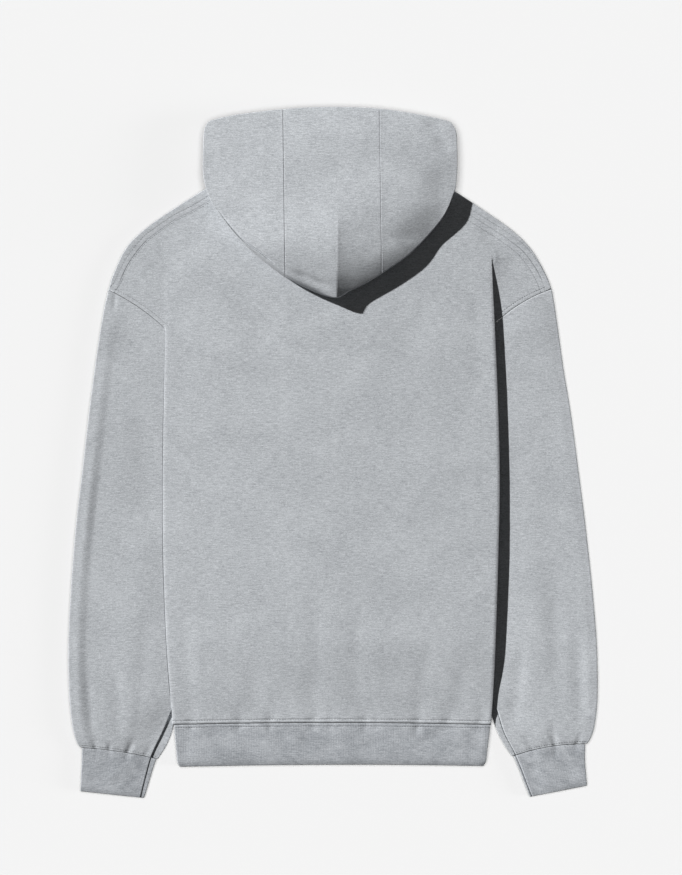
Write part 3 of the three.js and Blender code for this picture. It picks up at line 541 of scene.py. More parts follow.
def backRows():
    fine = seam["steps"] + waistSeamY + 0.15
    y = np.concatenate([fine, np.arange(waistSeamY + 12, 128, 4), np.arange(128, 262, 2),
                        np.arange(262, 333, 2.7)])
    left, right = backSide("left", y), backSide("right", y)
    share = np.linspace(0, 1, 100)[None, 1:-1]
    x = mix(left[:, -1, 0][:, None], right[:, -1, 0][:, None], share)
    rowY = y[:, None] * np.ones_like(x)
    out = np.clip(np.abs(x - middleX) / garment["neckHalfWidth"], 0, 1)
    rowY = rowY - smooth(262, 332, y)[:, None] * 13 * (1 - out**2)
    middle = np.stack([x, rowY, torsoTop(x, rowY)], axis=2)
    rows = np.concatenate([left, middle, right[:, ::-1]], axis=1)
    up = y - waistSeamY
    rows[:, :, 1] += (waistSeam(rows[:, :, 0]) - waistSeamY) * smooth(60, 0, up)[:, None]
    onTop = rows[:, :, 2] > mix(3.5, 6.8, smooth(0, 30, up))[:, None]
    turned = seamDrop(up - 0.15, seam["rows"]["waist"], 2) * (up < 12)
    rows[:, :, 2] -= np.where(onTop, turned[:, None], 0)
    return rows


backPanel = meshFrom("backPanel", backRows(), fleece, solid=garment["cloth"])
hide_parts("back_panel")
print("back panel ready")


# The front panel: underneath, and over the shoulders to their seams

def overShoulder(side, y, count):
    # from the seam on the back over the silhouette to the under side
    seamX = xAt(shoulderSeams[side], y) + sides[side] * garment["seamGap"]
    slant = slantOf(shoulderSeams[side], y)
    roll = torso["foldRoll"] * slantOf(shoulderEdges[side], y)
    edgeX = xAt(shoulderEdges[side], y)
    outwards, away = fromEdge(seamX, edgeX - sides[side] * roll, slant, count - seamColumns - 12)
    rowY = y[:, None] * np.ones_like(outwards)
    fade = smooth(0, 9, np.abs(edgeX - seamX))[:, None]
    z = torsoTop(outwards, rowY) - seamDrop(away, seam["rows"]["outer"][side], 0.5) * fade
    over = np.stack([outwards, rowY, z], axis=2)
    top, turn = over[:, -1, 2][:, None], np.linspace(0, math.pi / 2, 9)[None, 1:]
    tight = turn[:, 1::2]
    inward = np.concatenate([roll[:, None] * (1 - np.sin(tight)),
                             rim["under"] * (1 - np.cos(turn)) + 0 * roll[:, None]], axis=1)
    high = np.concatenate([mix(rim["height"], 1, np.cos(tight)),
                           rim["height"] * (1 - np.sin(turn))], axis=1)
    x = edgeX[:, None] - sides[side] * inward
    rolled = np.stack([x, y[:, None] * np.ones_like(x), top * high], axis=2)
    rows = np.concatenate([over, rolled], axis=1)
    # the lowest rows follow the armhole instead of running level
    line, tipY = armholeLines[side], armholes[side]["tip"][1]
    inward = np.maximum(line[0, 0] * sides[side] - rows[:, :, 0] * sides[side], 0)
    below = tipY - np.interp(inward, np.abs(line[:, 0] - line[0, 0]), line[:, 1])
    rows[:, :, 1] -= below * smooth(tipY + 14, tipY, rows[:, :, 1])
    return rows


def frontHalf(side):
    pitY, tipY = armholes[side]["pit"][1], armholes[side]["tip"][1]
    count = seamColumns + 20
    y = np.concatenate([np.arange(waistSeamY + 0.3, pitY - 8, 4.5), np.arange(pitY - 6, tipY - 0.5, 1.8),
                        [tipY - 0.1], np.arange(tipY + 0.05, tipY + 9, 1.2),
                        np.arange(tipY + 10.5, 341, 2.4)])
    sideSeam = xAt(sideFolds[side], y) - sides[side] * (torso["foldRoll"] + torso["backWrap"] + 0.5)
    armhole = xAt(armholeLines[side], y) - sides[side] * 0.4
    start = mix(sideSeam, armhole, smooth(pitY - 12, pitY - 2, y))
    x = start[:, None] - sides[side] * np.linspace(0, 12, count)[None, :]
    rowY = y[:, None] * np.ones_like(x)
    under = np.stack([x, rowY, bodyBottom(x, rowY)], axis=2)
    edge = np.where((y > tipY)[:, None, None], overShoulder(side, y, count), under)
    above = np.clip((y - garment["frontNeckY"]) / (garment["neckPointY"] - garment["frontNeckY"]), 0, 1)
    inner = middleX + sides[side] * (garment["neckHalfWidth"] - 2) * above ** (1 / 2.2)
    x = mix(edge[:, -1, 0][:, None], inner[:, None], np.linspace(0, 1, 44)[None, 1:])
    rowY = y[:, None] * np.ones_like(x)
    flat = np.stack([x, rowY, bodyBottom(x, rowY)], axis=2)
    rows = np.concatenate([edge, flat], axis=1)
    rows[:, :, 1] += (waistSeam(rows[:, :, 0]) - waistSeamY) * smooth(60, 0, y - waistSeamY)[:, None]
    return rows if side == "right" else rows[:, ::-1]


halves = [meshFrom(f"front {side}", frontHalf(side), fleece) for side in sides]
frontPanel = joined("frontPanel", halves)
weld = frontPanel.modifiers.new("weld", "WELD")
weld.merge_threshold = 0.0002
wall = frontPanel.modifiers.new("wall", "SOLIDIFY")
wall.thickness, wall.offset = garment["cloth"] * 0.001, -1
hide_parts("front_panel")
print("front panel ready")


# Sleeves, cuffs and waistband: flattened tubes through tables of sections

sleeveSections = {  # outer edge x and y, inner edge x and y, bow, height
    "left": [
        (-269.3, 195.2, -199.2, 147.2, 3.4, 8.8), (-271.4, 185, -196.6, 137, 3.2, 8.9),
        (-274.3, 172, -194.6, 126, 3, 9), (-280.3, 136, -193.5, 98, 2.2, 9.2),
        (-285.5, 100, -191.5, 70, 1.4, 9.4), (-292.8, 44, -190.5, 24, 0.6, 9.6),
        (-299.6, -16, -191, -30, 0, 9.8), (-307.2, -80, -191, -90, 0, 9.8),
        (-313.2, -152, -190.5, -158, 0, 9.8), (-316.6, -216, -188.8, -220, 0, 9.8),
        (-316.8, -262, -187.4, -266, 0, 9.8), (-315.2, -300, -190, -302, 0, 9.6),
        (-311.8, -328, -191.8, -328, 0, 9.2), (-307.4, -345, -199, -349, 1, 8.6),
        (-303.2, -352.6, -210, -366.6, 2, 7.8),
    ],
    "right": [
        (262.1, 196.2, 194.6, 155.2, 4.4, 7.6), (263.8, 186, 191, 144.6, 4.2, 7.4),
        (266, 172, 188, 130, 4, 7.2), (271.2, 136, 187, 98, 3, 7),
        (276.6, 98, 185.5, 68, 1.8, 6.8), (285.4, 44, 185.5, 24, 0.6, 6.8),
        (293.4, -16, 187, -30, 0, 6.8), (301.6, -80, 186.5, -90, 0, 6.8),
        (309.6, -152, 185, -158, 0, 7), (315.2, -216, 183.6, -220, 0, 7.4),
        (316.9, -258, 182.8, -262, 0, 8), (316.6, -298, 187, -302, 0, 8.6),
        (313, -328, 194.4, -327, 0, 8.8), (308.4, -342, 203.4, -346.6, 1, 8.4),
        (304.6, -348.2, 214.6, -363.4, 4, 7.8),
    ],
}
underarmSeams = {  # where each one comes out from under the side fold, and on down the cuff
    "left": [(-191, -300), (-192.4, -306), (-203.4, -333), (-216.6, -361), (-223.8, -385), (-231, -414)],
    "right": [(192, -300), (197.4, -310), (205.2, -334.8), (218.4, -361), (228, -385), (238, -414)],
}
tubeGuides = {  # the line along which a sleeve's columns gather: the side fold, then the underarm seam
    side: np.vstack([curveThrough(underarmSeams[side])[::-1],
                     sideFolds[side][sideFolds[side][:, 1] > -290]])
    for side in sides
}
guideSteps = np.array([-6, -4, -2.6, -1.6, -0.9, -0.45, -0.16, -0.05, 0.1, 0.5, 1, 1.6])


def tubeRows(sections, shares, counts, heightAt, guide=None):
    dense = curveThrough(np.array(sections, float), 20)
    dense = resample(dense, shares, measure=(dense[:, 0:2] + dense[:, 2:4]) / 2)
    outer, inner, bow, height = dense[:, 0:2], dense[:, 2:4], dense[:, 4:5], dense[:, 5:6]
    run = inner - outer
    width = np.linalg.norm(run, axis=1, keepdims=True)
    up = np.stack([-run[:, 1], run[:, 0]], axis=1) / width
    up = up * np.where(up[:, 1:] < 0, -1, 1)
    place = np.full_like(width, 0.85)
    for _ in range(8 if guide is not None else 0):
        y = outer[:, 1:] + run[:, 1:] * place
        place = np.clip((xAt(guide, y) - outer[:, :1]) / run[:, :1], 0.3, 1)
    along = np.minimum(place * width, width - rim["over"] - guideSteps[-1] - 0.6)

    def points(s, upper):  # s runs from 0 on the outer fold to the width on the inner one
        near = np.minimum(s, width - s)
        bend = np.sqrt(1 - np.clip(1 - near / rim["over" if upper else "under"], 0, 1) ** 2)
        share = s / width
        x = outer[:, :1] + run[:, :1] * share + up[:, :1] * bow * 4 * share * (1 - share)
        y = outer[:, 1:] + run[:, 1:] * share + up[:, 1:] * bow * 4 * share * (1 - share)
        spot = SimpleNamespace(x=x, y=y, share=share, fromOuter=s, fromGuide=s - along, height=height,
                               along=shares[:, None])
        high = heightAt(spot)
        z = mix(rim["height"] * high, high if upper else np.zeros_like(high), bend)
        return np.stack([x, y, z], axis=2)

    turns = (1 - np.cos(np.linspace(0, math.pi / 2, 8)[:-1]))[None, :] * np.ones_like(width)
    curl, flatStart = rim["over"] * turns[:, ::2], rim["over"] + 0 * width
    before = mix(flatStart, along + guideSteps[0], np.linspace(0, 1, counts[0])[None, :-1])
    after = mix(along + guideSteps[-1], width - flatStart, np.linspace(0, 1, counts[1])[None, 1:])
    across = [curl, before, along + guideSteps[None, :], after, (width - curl)[:, ::-1]]
    over = points(np.concatenate(across, axis=1), True)
    curl, flatStart = rim["under"] * turns[:, 1:], rim["under"] + 0 * width
    flat = mix(flatStart, width - flatStart, np.linspace(0, 1, counts[2])[None, :])
    under = points(np.concatenate([curl, flat, (width - curl)[:, ::-1]], axis=1), False)
    return np.concatenate([over, under[:, ::-1]], axis=1)


sleeve = {
    "length": 560,
    "step": 2.7,
    "wall": 1.6,
    "columns": (62, 8, 24),  # outside the guide, inside it, and on the underside
    "left": {
        "grain": 2.4,
        # how far the front layer lies below, beyond the underarm seam, and the groove there
        "strip": (1.7, 0),
        # share of the length, and how far the cloth falls there inside the outer edge
        "outerStep": [(0, 0.1), (0.12, 0.5), (0.3, 1), (0.45, 1.5), (0.53, 1.4), (0.63, 1), (0.8, 1.4),
                      (0.92, 1.2), (1, 0.2)],
        # at the cuff: share of the width, depth, width and reach
        "gathers": [(0.2, 0.9, 0.03, 26), (0.37, 0.8, 0.026, 18), (0.61, 1.2, 0.034, 24),
                    (0.83, 0.5, 0.03, 18)],
        "creases": [
            (-262, 150, -214, 118, 0.3, 10), (-232, 80, -218, -120, 0.5, 15),
            (-244, -20, -250, -190, 0.4, 17), (-222, -190, -236, -345, 0.5, 9),
            (-262, -250, -255, -350, 0.5, 8), (-261, 192, -262, 170, 0.5, 2.6),
            (-294, -262, -288, -338, 0.4, 4.5),
        ],
    },
    "right": {
        "grain": -2.6,
        "strip": (0.1, 0.9),
        "outerStep": [(0, 0), (0.6, 0.1), (0.9, 0.3), (1, 0.2)],
        "gathers": [(0.13, 1.1, 0.035, 34), (0.42, 1.5, 0.035, 44), (0.51, 0.6, 0.026, 16),
                    (0.72, 0.8, 0.035, 26)],
        "creases": [
            (250, 150, 214, 118, 0.3, 11), (268, 110, 262, 0, 0.25, 15),
            (264, -150, 270, -300, 0.7, 11), (291, -220, 299, -330, 0.8, 9),
            (226, -230, 216, -330, 0.7, 9), (250, -40, 262, -170, 0.3, 18),
        ],
    },
}


def stripDrop(strip, fromSeam):
    return strip[0] * smooth(-0.6, 0.1, fromSeam) + strip[1] * bump(fromSeam, 0.5)


def sleeveHeight(side):
    sign, own = sides[side], sleeve[side]

    def at(p):
        edge = xAt(sideFolds[side], p.y)
        beside = torsoTop(edge - sign * 2, p.y) - dropAt(side, p.y)
        beside = np.maximum(mix(beside, 5.8, smooth(-285, -335, p.y)), 4.7)
        base = mix(beside, p.height, smooth(0, 50, -p.fromGuide)) - 0.3 * smooth(12, 2, p.fromOuter)
        high = mix(yokeTop(p.x, p.y), base, smooth(0, 0.13, p.along))
        stepDown = valueAt(own["outerStep"], p.along)
        high = high - stepDown * smooth(11, 23, p.fromOuter) * smooth(100, 26, p.fromOuter)
        high = high + creases(p.x, p.y, own["creases"]) + softWaves(p.x, p.y, 12, 90, 0.14)
        fromCuff = (1 - p.along) * sleeve["length"]
        for across, depth, width, reach in own["gathers"]:
            spread = width * (1 + fromCuff / 60)
            high = high - depth * bump(p.share - across, spread) * smooth(reach, 3, fromCuff)
        tucked = np.interp(p.fromGuide, [-0.45, -0.16, -0.05, 0.1], [0, 0.04, 0.85, 1])
        tucked = tucked * smooth(-320, -304, p.y) * smooth(0.002, 0.02, p.along)
        high = mix(high, np.minimum(high, foldLow(side, p.y) - 0.7), tucked)
        high = high - stripDrop(own["strip"], p.fromGuide) * smooth(-303, -314, p.y)
        turned = seamDrop(p.along * sleeve["length"])
        turned = turned + seamDrop(fromCuff, seam["rows"]["cuff"]) * (fromCuff < 12)
        return high - turned

    return at


def makeSleeve(side):
    near = seam["steps"][[0, 1, 2, 3, 4, 5, 6, 7, 9, 11]] / sleeve["length"]
    count = int(sleeve["length"] / sleeve["step"])
    shares = np.concatenate([near, np.linspace(0.012, 0.988, count), 1 - near[::-1]])
    rows = tubeRows(sleeveSections[side], shares, sleeve["columns"], sleeveHeight(side), tubeGuides[side])
    if side == "right":
        rows = rows[:, ::-1]
    piece = meshFrom(f"sleeve{side.capitalize()}", rows[:, ::-1], fleece, True, sleeve["wall"],
                     sleeve[side]["grain"])
    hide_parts(f"sleeve_{side}")
    return piece


sleeves = {side: makeSleeve(side) for side in sides}
print("sleeves ready")


def doubledTube(name, rows, wallThickness, node, flip, grain=0.0):
    # the outer layer runs down to the hem, turns in round a soft lip and runs back up inside
    outer = rows[:, ::-1] if flip else rows
    ahead = np.roll(outer, -1, axis=1) - np.roll(outer, 1, axis=1)
    down = np.gradient(outer, axis=0)
    normal = unit(np.cross(down, ahead))
    hem, hemNormal, downwards = outer[-1], normal[-1], unit(down[-1])
    radius = wallThickness / 2
    turns = np.linspace(0, math.pi, 8)[1:]
    lip = [hem - hemNormal * radius * (1 - math.cos(t)) + downwards * radius * math.sin(t) for t in turns]
    inner = (outer - normal * wallThickness)[::-1][1:]
    rows = np.concatenate([outer, np.stack(lip), inner[: len(inner) - 2]], axis=0)
    piece = meshFrom(name, rows[:, ::-1], ribKnit, around=True, grain=grain)
    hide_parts(node)
    return piece


cuff = {
    "insets": (2.6, 1.8),  # at the outer and the inner edge
    "length": 48,
    "height": 7.4,
    "wall": 1.7,
    "columns": (60, 8, 40),
    "strips": {"left": (0.8, 0.2), "right": (0.1, 0.8)},
    "left": [(-301, -372, -217.4, -383, 1, 7.4), (-302, -390, -222, -399, 0, 7.4),
             (-302.6, -404.6, -226.4, -412.8, 0, 7)],
    "right": [(301.8, -368, 224, -381, 2, 7.4), (303, -384, 230, -397, 0, 7.4),
              (304.4, -397.8, 235.8, -411.4, 0, 7)],
    "creases": [(-282, -358, -262, -384, 0.5, 9), (-262, -388, -240, -400, 0.4, 8),
                (262, -356, 280, -380, 0.5, 9), (236, -372, 250, -398, 0.5, 7),
                (288, -372, 280, -398, 0.4, 8)],
}


def cuffHeight(side):
    def at(p):
        down = p.along * cuff["length"]
        high = p.height - 0.9 * smooth(26, 4, -p.fromGuide) + creases(p.x, p.y, cuff["creases"])
        for across, depth, width, _ in sleeve[side]["gathers"]:
            high = high - 0.5 * depth * bump(p.share - across, width * 1.4) * smooth(16, 1, down)
        high = high - stripDrop(cuff["strips"][side], p.fromGuide)
        return high - seamDrop(down) - 0.4 * smooth(44, 48, down) + softWaves(p.x, p.y, 31, 24, 0.1)

    return at


def makeCuff(side):
    end = np.array(sleeveSections[side][-1], float)
    run = end[2:4] - end[0:2]
    run = run / np.linalg.norm(run)
    down = np.array([run[1], -run[0]])
    down = down * garment["seamGap"] * (1 if down[1] < 0 else -1)
    ends = [end[0:2] + run * cuff["insets"][0] + down, end[2:4] - run * cuff["insets"][1] + down]
    start = (*ends[0], *ends[1], end[4], cuff["height"])
    near = seam["steps"][[0, 1, 2, 3, 4, 5, 6, 8]] / cuff["length"]
    shares = np.concatenate([near, np.linspace(0.11, 1, 30)])
    rows = tubeRows([start, *cuff[side]], shares, cuff["columns"], cuffHeight(side), tubeGuides[side])
    return doubledTube(f"cuff{side.capitalize()}", rows, cuff["wall"], f"cuff_{side}", side == "right",
                       8 if side == "left" else -10)


cuffs = {side: makeCuff(side) for side in sides}

waistband = {
    "length": 50,
    "wall": 1.8,
    "columns": (220, 8, 90),
    "sections": [(-190.4, -325.7, 188.4, -325.7, 2.4, 9.2), (-189.2, -340, 186.8, -340, 1.8, 9.4),
                 (-187.6, -358, 184.6, -358, 1.8, 9.2), (-186.6, -369, 183.4, -368.6, 2, 8.8),
                 (-184, -375.4, 180.8, -374.4, 2.2, 8)],
    "creases": [(-150, -328, -120, -352, 0.5, 10), (-78, -328, -52, -350, 0.6, 8),
                (-30, -330, -36, -362, 0.35, 10),
                (36, -328, 52, -352, 0.4, 9), (96, -328, 112, -350, 0.6, 8), (134, -328, 110, -352, 0.6, 9),
                (166, -330, 178, -366, 0.5, 9), (-170, -330, -178, -366, 0.4, 8)],
}


def bandHeight(p):
    down = p.along * waistband["length"]
    high = p.height - 0.6 * smooth(30, 2, p.fromOuter) - 0.3 * smooth(46, 50, down)
    for place, depth, width in torso["puckers"]:
        soft = 0.5 * bump(p.x - place, width) * smooth(18, 2, down)
        high = high - depth * (soft + 0.4 * bump(p.x - place, width * 0.6) * bump(down - 5, 3.2))
    turned = seamDrop(down, seam["rows"]["waist"] - 0.6, 1.2) * (down < 12)
    high = high - turned + creases(p.x, p.y, waistband["creases"])
    return high + softWaves(p.x, p.y, 17, 60, 0.14) + softWaves(p.x, p.y, 18, 22, 0.04)


bandShares = np.concatenate([seam["steps"] / waistband["length"], np.linspace(0.22, 1, 26)])
bandRows = tubeRows(waistband["sections"], bandShares, waistband["columns"], bandHeight)
band = doubledTube("waistBand", bandRows, waistband["wall"], "waistband", False)
print("cuffs and waistband ready")


# The hood: one folded bag of cloth, parted along its two seams into three panels

hood = {
    "left": curveThrough([(-151.4, 314.6), (-154.6, 330), (-155.4, 350), (-154.2, 384), (-150.4, 394)]),
    "upper": curveThrough([(-150.4, 394), (-145, 397.6), (-115, 404.4), (-53, 411.6), (2, 413.8),
                           (56, 411.6), (103, 404.6), (137, 397), (143.2, 392.4)]),
    "right": curveThrough([(143.2, 392.4), (147.4, 382), (148.6, 350), (147.8, 330), (146.4, 315.4)]),
    "lower": curveThrough([(146.4, 315.4), (131, 281), (97, 242.4), (72, 223), (42, 203.8), (21, 193.6),
                           (2.4, 185), (-28, 195), (-64, 214.4), (-109, 252), (-140.4, 291.6),
                           (-151.4, 314.6)]),
    "seams": {"left": (-56.4, -60), "right": (58.8, 55.2)},  # x at both ends
    "seamEnds": (170, 430),  # y of those ends
    "centre": (3.5, 310),
    "keelX": 6,
    "keelHeights": [(170, 30.5), (185, 33), (200, 36.5), (215, 39.5), (240, 41.2), (265, 39.2), (294, 34.5),
                    (330, 30), (370, 26), (400, 21.5), (415, 18.5)],
    "leftDrops": [(170, 1), (240, 2.5), (300, 4), (350, 3.5), (415, 1.5)],
    "rightDrops": [(170, 0), (230, 0.8), (262, 3), (294, 5.2), (330, 6), (370, 4.8), (415, 2.5)],
    "ridgeFall": (4.6, 18),  # just right of the keel: depth, and the width it takes
    "facetWidth": 48,  # the shaded slope along the lower right edge
    "facetDrops": [(-10, 0.6), (4, 1), (20, 3.6), (45, 6.4), (75, 8), (105, 8.6), (125, 7), (140, 4.5),
                   (160, 3)],
    "seamRows": (-3.5, -2, -1.1, -0.5, 0.5, 1.1, 2, 3.5),  # cuts beside each seam, by their distance
    "rest": 0.6,
    "wall": 1.6,
    "creases": [
        (-46, 217, -4, 196.5, 2.2, 3.2), (114, 398, 138, 360, 1.2, 8), (60, 250, 104, 262, 0.5, 8),
        (30, 232, 70, 262, 0.5, 9), (-120, 300, -60, 330, 0.4, 18), (80, 300, 136, 330, 0.5, 16),
        (-20, 380, 30, 330, 0.3, 20), (-130, 380, -90, 350, 0.3, 15), (90, 385, 112, 330, 0.4, 12),
    ],
    "mouth": {"x": -2.4, "y": 352, "halfWidth": 96, "halfHeight": 35, "power": 3},
}
hoodOutline = np.vstack([hood["left"][:-1], hood["upper"][:-1], hood["right"][:-1], hood["lower"]])
tip = int(np.argmin(hood["lower"][:, 1]))
hoodRightEdge = hood["lower"][: tip + 1 : 6]
hoodSides = {
    "left": np.vstack([hood["lower"][tip:], hood["left"], hood["upper"][:12]]),
    "right": np.vstack([hood["lower"][: tip + 1], hood["right"], hood["upper"][-12:]]),
}


def hoodHeight(x, y):
    keel, keelX = valueAt(hood["keelHeights"], y), hood["keelX"]
    right = np.clip((x - keelX) / np.maximum(xAt(hoodSides["right"], y) - keelX, 8), 0, 1.1)
    left = np.clip((keelX - x) / np.maximum(keelX - xAt(hoodSides["left"], y), 8), 0, 1.1)
    depth, width = hood["ridgeFall"]
    facet = np.clip(1 - distanceTo(hoodRightEdge, x, y) / hood["facetWidth"], 0, 1) ** 2
    fallRight = valueAt(hood["rightDrops"], y) * right**2 + valueAt(hood["facetDrops"], x) * facet
    fallRight = fallRight + depth * smooth(300, 255, y) * (1 - np.exp(-np.clip(x - keelX, 0, None) / width))
    fallLeft = valueAt(hood["leftDrops"], y) * left**2
    high = keel - np.where(x > keelX, fallRight, fallLeft)
    high = high + creases(x, y, hood["creases"])
    return high + softWaves(x, y, 23, 120, 0.25) + softWaves(x, y, 27, 40, 0.05)


def shoulderLine(x):  # y of the garment's shoulder edge, carried on over the neck
    edge = np.vstack([shoulderEdges["left"], shoulderEdges["right"][::-1]])
    return np.interp(x, edge[:, 0], edge[:, 1])


def hoodRest(x, y):  # the under layer lies on the back, and on the floor above the shoulders
    return smooth(shoulderLine(x) + 38, shoulderLine(x) + 22, y) * (torsoTop(x, y) + hood["rest"])


def hoodRings():
    outline = resample(hoodOutline, np.linspace(0, 1, 421)[:-1])
    normal = sideways(np.roll(outline, -1, axis=0) - np.roll(outline, 1, axis=0))
    ray = outline - hood["centre"]
    reach = np.linalg.norm(ray, axis=1, keepdims=True)
    facing = np.clip(np.sum(normal * ray / reach, axis=1, keepdims=True), 0.45, 1)
    x, y = outline[:, :1], outline[:, 1:]
    soft = smooth(2, -20, x) * smooth(-112, -88, x) * smooth(300, 275, y)  # where the edge rolls under
    roll = rim["over"] + smooth(300, 275, y) * (0.4 + 3.6 * soft)
    turns = 1 - np.cos(np.linspace(0, math.pi / 2, 8))
    lip = np.array([[0.3, 0.6, 0.9, 1.2, 1.6, 2, 2.5, 3.2, 4.5, 7]])
    steps = np.concatenate([turns[None, :] * roll, roll + lip], axis=1)
    shares = 1 - steps / (reach * facing)
    inward = np.concatenate([shares, shares[:, -1:] * np.linspace(1, 0.012, 52)[None, 1:]], axis=1)
    over = hood["centre"] + ray[:, None, :] * inward[:, :, None]
    bend = np.ones(inward.shape)
    bend[:, : steps.shape[1]] = np.sqrt(1 - np.clip(1 - steps / roll, 0, 1) ** 2)

    mouth = hood["mouth"]
    out = outline - (mouth["x"], mouth["y"])
    angle = np.arctan2(out[:, 1], out[:, 0])
    spread = (np.abs(np.cos(angle)) / mouth["halfWidth"]) ** mouth["power"]
    spread = spread + (np.abs(np.sin(angle)) / mouth["halfHeight"]) ** mouth["power"]
    size = (spread ** (-1 / mouth["power"]))[:, None]
    mouthEdge = (mouth["x"], mouth["y"]) + np.stack([np.cos(angle), np.sin(angle)], axis=1) * size
    under = hood["centre"] + ray[:, None, :] * (1 - turns * rim["under"] / (reach * facing))[:, ::-1, None]
    far = mix(mouthEdge[:, None, :], under[:, :1, :], np.linspace(0, 1, 12)[None, :-1, None])
    underBend = np.sqrt(1 - (1 - turns) ** 2)[::-1] * np.ones((len(outline), 1))
    underBend = np.concatenate([np.ones((len(outline), 11)), underBend], axis=1)[:, :-1]
    widest = rim["height"] - 0.45 * soft
    under = np.concatenate([far, under], axis=1)[:, :-1]

    def heights(plan, share, upper):
        x, y = plan[..., 0], plan[..., 1]
        top, rest = hoodHeight(x, y), hoodRest(x, y)
        return mix(mix(rest, top, widest), top if upper else rest, share)

    plan = np.concatenate([under, over], axis=1)
    # the lower left edge stands up as a narrow lip, with a groove inside it
    depth = 2.2 * smooth(-146, -116, x) * smooth(-66, -84, x) * smooth(300, 285, y)
    top = heights(over, bend, True)
    top[:, : steps.shape[1]] -= depth * bump(steps - roll - 1.2, 0.9)
    z = np.concatenate([heights(under, underBend, False), top], axis=1)
    upper = np.concatenate([np.zeros(under.shape[:2]), np.ones(over.shape[:2])], axis=1)
    return np.concatenate([plan, z[..., None]], axis=2), upper


def wholeHood():
    rows, upper = hoodRings()
    ringCount, stepCount = rows.shape[:2]
    faces = gridFaces(stepCount, ringCount, around=True)
    points = np.swapaxes(rows, 0, 1).reshape(-1, 3)
    faces.append(tuple(range((stepCount - 1) * ringCount, stepCount * ringCount)))
    whole = bmesh.new()
    top = whole.verts.layers.float.new("top")
    verts = [whole.verts.new(point) for point in points.tolist()]
    for vert, value in zip(verts, np.swapaxes(upper, 0, 1).ravel()):
        vert[top] = value
    for face in faces:
        whole.faces.new([verts[i] for i in face])
    planes = {}
    startY, endY = hood["seamEnds"]
    for side, (low, high) in hood["seams"].items():
        normal = Vector((endY - startY, low - high, 0)).normalized()
        planes[side] = (Vector((low, startY, 0)), normal)
        for away in hood["seamRows"]:
            parts = [*whole.verts, *whole.edges, *whole.faces]
            place = planes[side][0] + normal * away
            bmesh.ops.bisect_plane(whole, geom=parts, plane_co=place, plane_no=normal)
    for vert in whole.verts:
        for co, normal in planes.values():
            away = (vert.co - co).dot(normal)
            raised = 0.3 * math.exp(-abs(away) / 1.6) if away * (co.x - hood["centre"][0]) > 0 else 0
            vert.co.z += vert[top] * (raised - 0.3 * math.exp(-((away / 0.5) ** 2)))
    return whole, planes


def hoodPanel(whole, planes, name, node, keep):
    part = whole.copy()
    for side, sign in keep:  # sign 1 keeps what lies to the right of the seam
        co, normal = planes[side]
        cut = co + normal * (garment["seamGap"] / 2) * sign
        parts = [*part.verts, *part.edges, *part.faces]
        bmesh.ops.bisect_plane(part, geom=parts, plane_co=cut, plane_no=normal,
                               clear_inner=sign > 0, clear_outer=sign < 0)
    part.verts.ensure_lookup_table()
    part.verts.index_update()
    points = np.array([vert.co for vert in part.verts])
    faces = [tuple(vert.index for vert in face.verts)[::-1] for face in part.faces]
    piece = meshOf(name, points, faces, fleece, hood["wall"])
    part.free()
    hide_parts(node)
    return piece


hoodBag, seamPlanes = wholeHood()
hoodCentre = hoodPanel(hoodBag, seamPlanes, "hoodCentre", "hood_centre", [("left", 1), ("right", -1)])
hoodLeft = hoodPanel(hoodBag, seamPlanes, "hoodSideLeft", "hood_side_left", [("left", -1)])
hoodRight = hoodPanel(hoodBag, seamPlanes, "hoodSideRight", "hood_side_right", [("right", 1)])
hoodBag.free()
print("hood ready")

# Sewing: rows of stitches, each on its panel in the groove that it has pulled into the cloth

stitch = {
    "Pitch": 3.1,
    "Length": 2.2,
    "Thickness": 0.5,
}


def stitchTree():
    tree = bpy.data.node_groups.new("row of stitches", "GeometryNodeTree")
    tree.interface.new_socket("Geometry", in_out="INPUT", socket_type="NodeSocketGeometry")
    for name in stitch:
        tree.interface.new_socket(name, in_out="INPUT", socket_type="NodeSocketFloat")
    tree.interface.new_socket("Thread", in_out="INPUT", socket_type="NodeSocketMaterial")
    tree.interface.new_socket("Geometry", in_out="OUTPUT", socket_type="NodeSocketGeometry")

    def add(kind, inputs, **settings):
        node = tree.nodes.new(kind)
        for key, value in settings.items():
            setattr(node, key, value)
        for key, value in inputs.items():
            if isinstance(value, bpy.types.NodeSocket):
                tree.links.new(value, node.inputs[key])
            else:
                node.inputs[key].default_value = value
        return node.outputs[0] if node.outputs else node

    given = tree.nodes.new("NodeGroupInput").outputs
    curve = add("GeometryNodeMeshToCurve", {"Mesh": given["Geometry"]})
    row = add("GeometryNodeResampleCurve", {"Curve": curve, "Length": given["Pitch"]}, mode="LENGTH")
    ball = add("GeometryNodeMeshUVSphere", {"Segments": 6, "Rings": 5, "Radius": 0.5})
    size = add("ShaderNodeCombineXYZ",
               {"X": given["Thickness"], "Y": given["Thickness"], "Z": given["Length"]})
    loop = add("GeometryNodeTransform", {"Geometry": ball, "Scale": size})
    ahead = add("GeometryNodeInputTangent", {})
    turn = add("FunctionNodeAlignRotationToVector", {"Vector": ahead}, axis="Z")
    placed = add("GeometryNodeInstanceOnPoints", {"Points": row, "Instance": loop, "Rotation": turn})
    real = add("GeometryNodeRealizeInstances", {"Geometry": placed})
    finished = add("GeometryNodeSetMaterial", {"Geometry": real, "Material": given["Thread"]})
    add("NodeGroupOutput", {"Geometry": finished})
    return tree


rowOfStitches = stitchTree()


def besideLine(line, away):  # the line moved sideways in plan, to its left where away is positive
    line = resample(line, np.linspace(0, 1, 90))
    return line + sideways(np.gradient(line, axis=0)) * away


